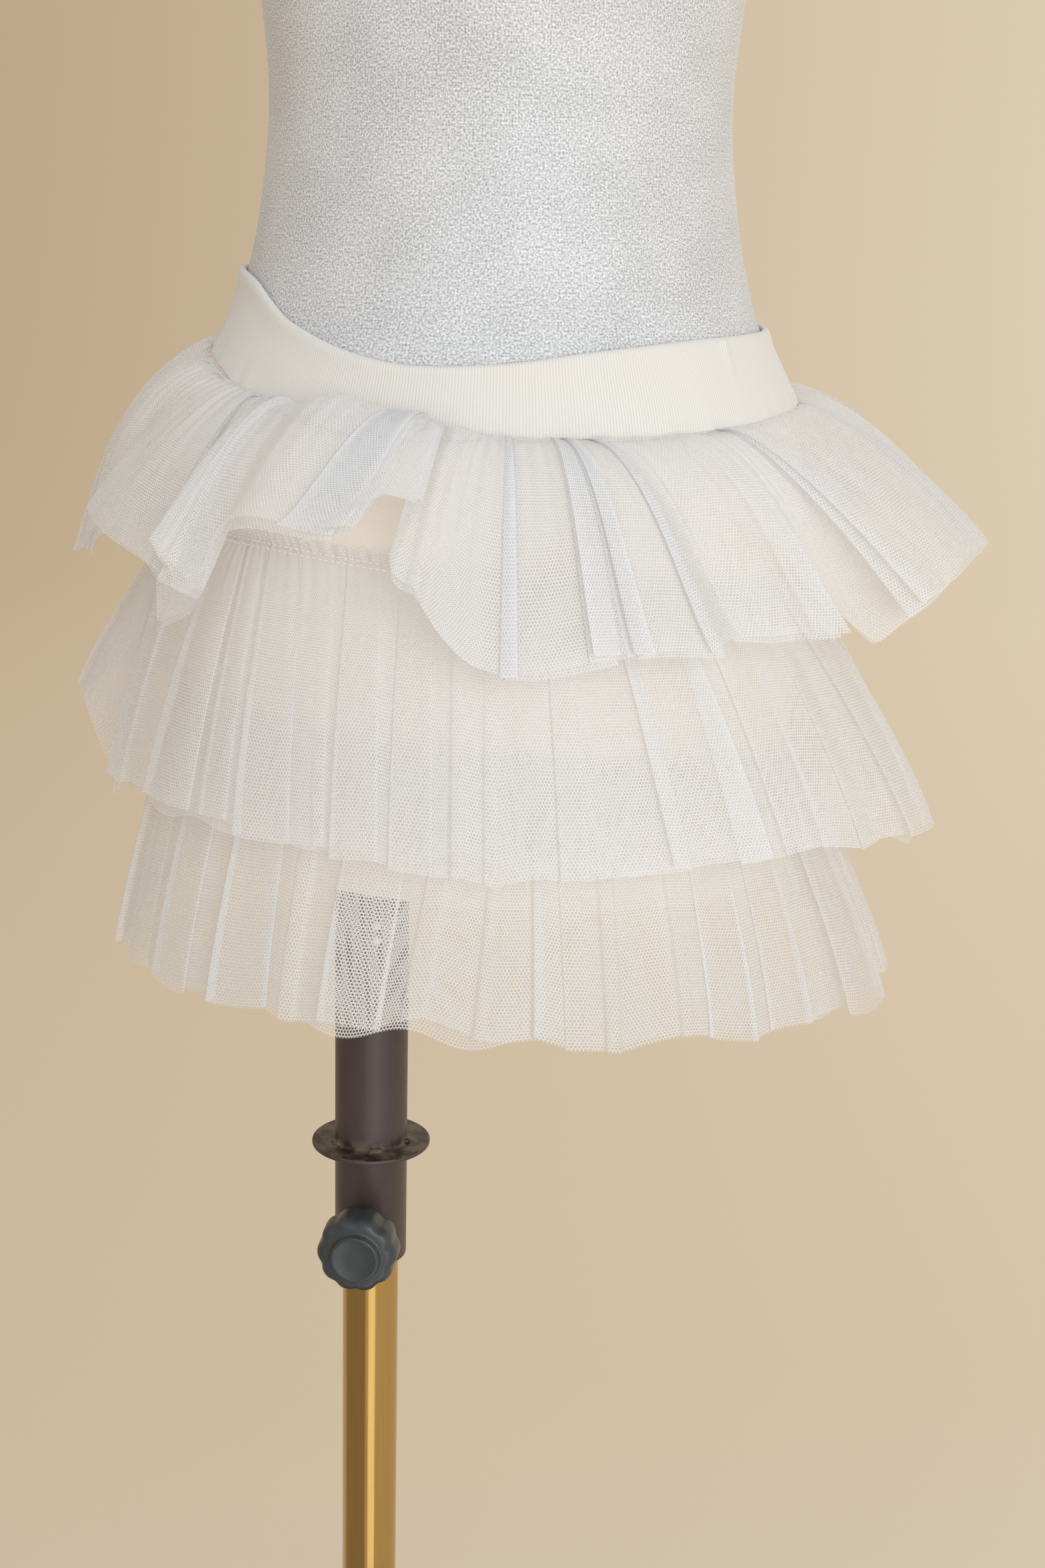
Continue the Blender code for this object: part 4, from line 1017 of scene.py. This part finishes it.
# The screw's boss and the weld that holds the disc: a few lumpy beads, painted over.
KNOB_TURN = -5.5  # degrees from the front
KNOB_HEIGHT = 0.2950
BOSS_HOLE, BOSS_RADIUS = 0.0046, 0.0085
BOSS_ROOT, BOSS_END = 0.0140, 0.0225  # from the pole's axis
BEAD_DEPTH, BEAD_RISE = 2.2, 1.8  # mm
BEAD_LUMPS = 0.25
BEADS = ((-68, 5.5), (-58, 3.5), (8, 4.5), (15, 4.0), (78, 4.5), (160, 5.0))  # degrees, and width in mm
screw = (Matrix.Translation((0, 0, KNOB_HEIGHT)) @ Matrix.Rotation(math.radians(KNOB_TURN), 4, "Z")
         @ Matrix.Rotation(math.radians(90), 4, "X"))
boss = turned("screw_boss", rounded([(BOSS_HOLE, BOSS_END), (BOSS_RADIUS, BOSS_END), (BOSS_RADIUS, BOSS_ROOT),
                                     (BOSS_HOLE, BOSS_ROOT)], BOSS_EDGE), painted, 64, screw)
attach(boss, "form")

chance = random.Random(11)
welds = bmesh.new()
for angle, width in BEADS:
    turn = math.radians(angle)
    spot = Vector((SLEEVE_RADIUS * math.sin(turn), -SLEEVE_RADIUS * math.cos(turn), disc_top))
    lump = bmesh.ops.create_icosphere(welds, subdivisions=3, radius=1.0)["verts"]
    shift = Vector([chance.uniform(0, 9) for _ in range(3)])
    for vert in lump:
        way = vert.co.copy()
        swell = math.sin(way.x * 5 + shift.x) * math.sin(way.y * 4 + shift.y) * math.sin(way.z * 3 + shift.z)
        uneven = 1 + BEAD_LUMPS * swell
        size = Vector((width / 2 * uneven, BEAD_DEPTH * uneven, BEAD_RISE * uneven)) / 1000
        point = Vector((way.x * size.x, way.y * size.y, way.z * size.z))
        vert.co = Matrix.Rotation(turn, 3, "Z") @ point + spot
mesh = bpy.data.meshes.new("weld_beads")
welds.to_mesh(mesh)
welds.free()
mesh.materials.append(painted)
mesh.shade_smooth()
beads = bpy.data.objects.new("weld_beads", mesh)
bpy.context.scene.collection.objects.link(beads)
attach(beads, "form")

# Two small domed steel rivets, left unpainted, one above the other in the sleeve's front. Their near-white
# colour is a painted glint on the polished steel, with a soft highlight and a finely scuffed face.
steel, tree, shader = finish("rivet_steel_with_painted_glint", Metallic=0.15)
place = node(tree, "ShaderNodeTexCoord")
worn = node(tree, "ShaderNodeTexNoise", {"Vector": place.outputs["Object"], "Scale": 3000.0})
# near white all over: a painted glint
tone = node(tree, "ShaderNodeMix", {0: worn.outputs["Fac"], 6: linear("#FAF6EC"), 7: linear("#FFFFFF")},
            data_type="RGBA")
tree.links.new(tone.outputs[2], shader.inputs["Base Color"])
scuffs = node(tree, "ShaderNodeMapRange", {0: worn.outputs["Fac"], 3: 0.25, 4: 0.4})
tree.links.new(scuffs.outputs[0], shader.inputs["Roughness"])
RIVET_RADIUS = 0.0019
RIVET_DOME = 0.0008
RIVET_EDGE = 0.0002  # how far the head's edge stands off the sleeve
RIVET_ROOT = 0.0008  # and how deep the rivet sits in it
RIVET_TURN = 11
RIVET_HEIGHTS = (0.4382, 0.4317)
for number, height in enumerate(RIVET_HEIGHTS, 1):
    seat = (Matrix.Translation((0, 0, height)) @ Matrix.Rotation(math.radians(RIVET_TURN), 4, "Z")
            @ Matrix.Rotation(math.radians(90), 4, "X"))
    dome = [(RIVET_RADIUS * math.cos(a), SLEEVE_RADIUS + RIVET_EDGE + RIVET_DOME * math.sin(a))
            for a in np.radians(np.linspace(90, 0, 7))]
    dome += [(RIVET_RADIUS, SLEEVE_RADIUS - RIVET_ROOT), (0.0, SLEEVE_RADIUS - RIVET_ROOT)]
    rivet = turned(f"rivet_{number}", dome, steel, 24, seat)
    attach(rivet, "form")

# --- Clamp knob -------------------------------------------------------------------------------------
# A moulded black plastic knob with ten shallow lobes, a stepped face and a steel stud, which clamps the
# sleeve on the pole.
LOBES = 10
LOBE_DEPTH = 0.06  # share of the radius
LOBES_FROM, LOBES_EASE = 0.0112, 0.0045  # the face's middle stays round

# Moulded nylon is a near-black grey with a fine grain and a broad soft gloss.
plastic, tree, shader = finish("black_moulded_plastic")
place = node(tree, "ShaderNodeTexCoord")
grain = node(tree, "ShaderNodeTexNoise", {"Vector": place.outputs["Object"], "Scale": 1100.0, "Detail": 2.0})
tone = node(tree, "ShaderNodeMix", {0: grain.outputs["Fac"], 6: linear("#33393C"), 7: linear("#3F4548")},
            data_type="RGBA")
tree.links.new(tone.outputs[2], shader.inputs["Base Color"])
rub = node(tree, "ShaderNodeMapRange", {0: grain.outputs["Fac"], 3: 0.28, 4: 0.38})
tree.links.new(rub.outputs[0], shader.inputs["Roughness"])
skin = node(tree, "ShaderNodeBump", {"Strength": 0.12, "Distance": 0.0001, "Height": grain.outputs["Fac"]})
tree.links.new(skin.outputs[0], shader.inputs["Normal"])

# radius and distance from the pole's axis in mm: the stepped face, the grip and the stud
outline = [(0.0, 42.4), (3.0, 42.4), (8.4, 42.5), (9.1, 42.9), (9.9, 43.0), (10.4, 42.7), (10.7, 42.0),
           (10.9, 40.6), (11.4, 40.0), (12.2, 39.9), (13.4, 39.9), (14.6, 39.6), (15.8, 38.9), (16.8, 37.7),
           (17.4, 36.2), (17.7, 34.5), (17.7, 26.5), (17.4, 25.0), (16.4, 24.0), (14.0, 24.0), (4.0, 24.0),
           (4.0, 12.8), (0.0, 12.8)]


def lobe(radius, height, turn):
    """How far the grip dips between its lobes, as a share of the radius."""
    grip = min(max((radius - LOBES_FROM) / LOBES_EASE, 0), 1)
    return grip * LOBE_DEPTH * (0.5 - 0.5 * math.cos(LOBES * turn)) ** 1.5


knob = turned("plastic_knob", [(r / 1000, z / 1000) for r, z in outline], plastic, 160, screw, lobe)
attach(knob, "knob")
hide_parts("clamp_knob")

low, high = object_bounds()
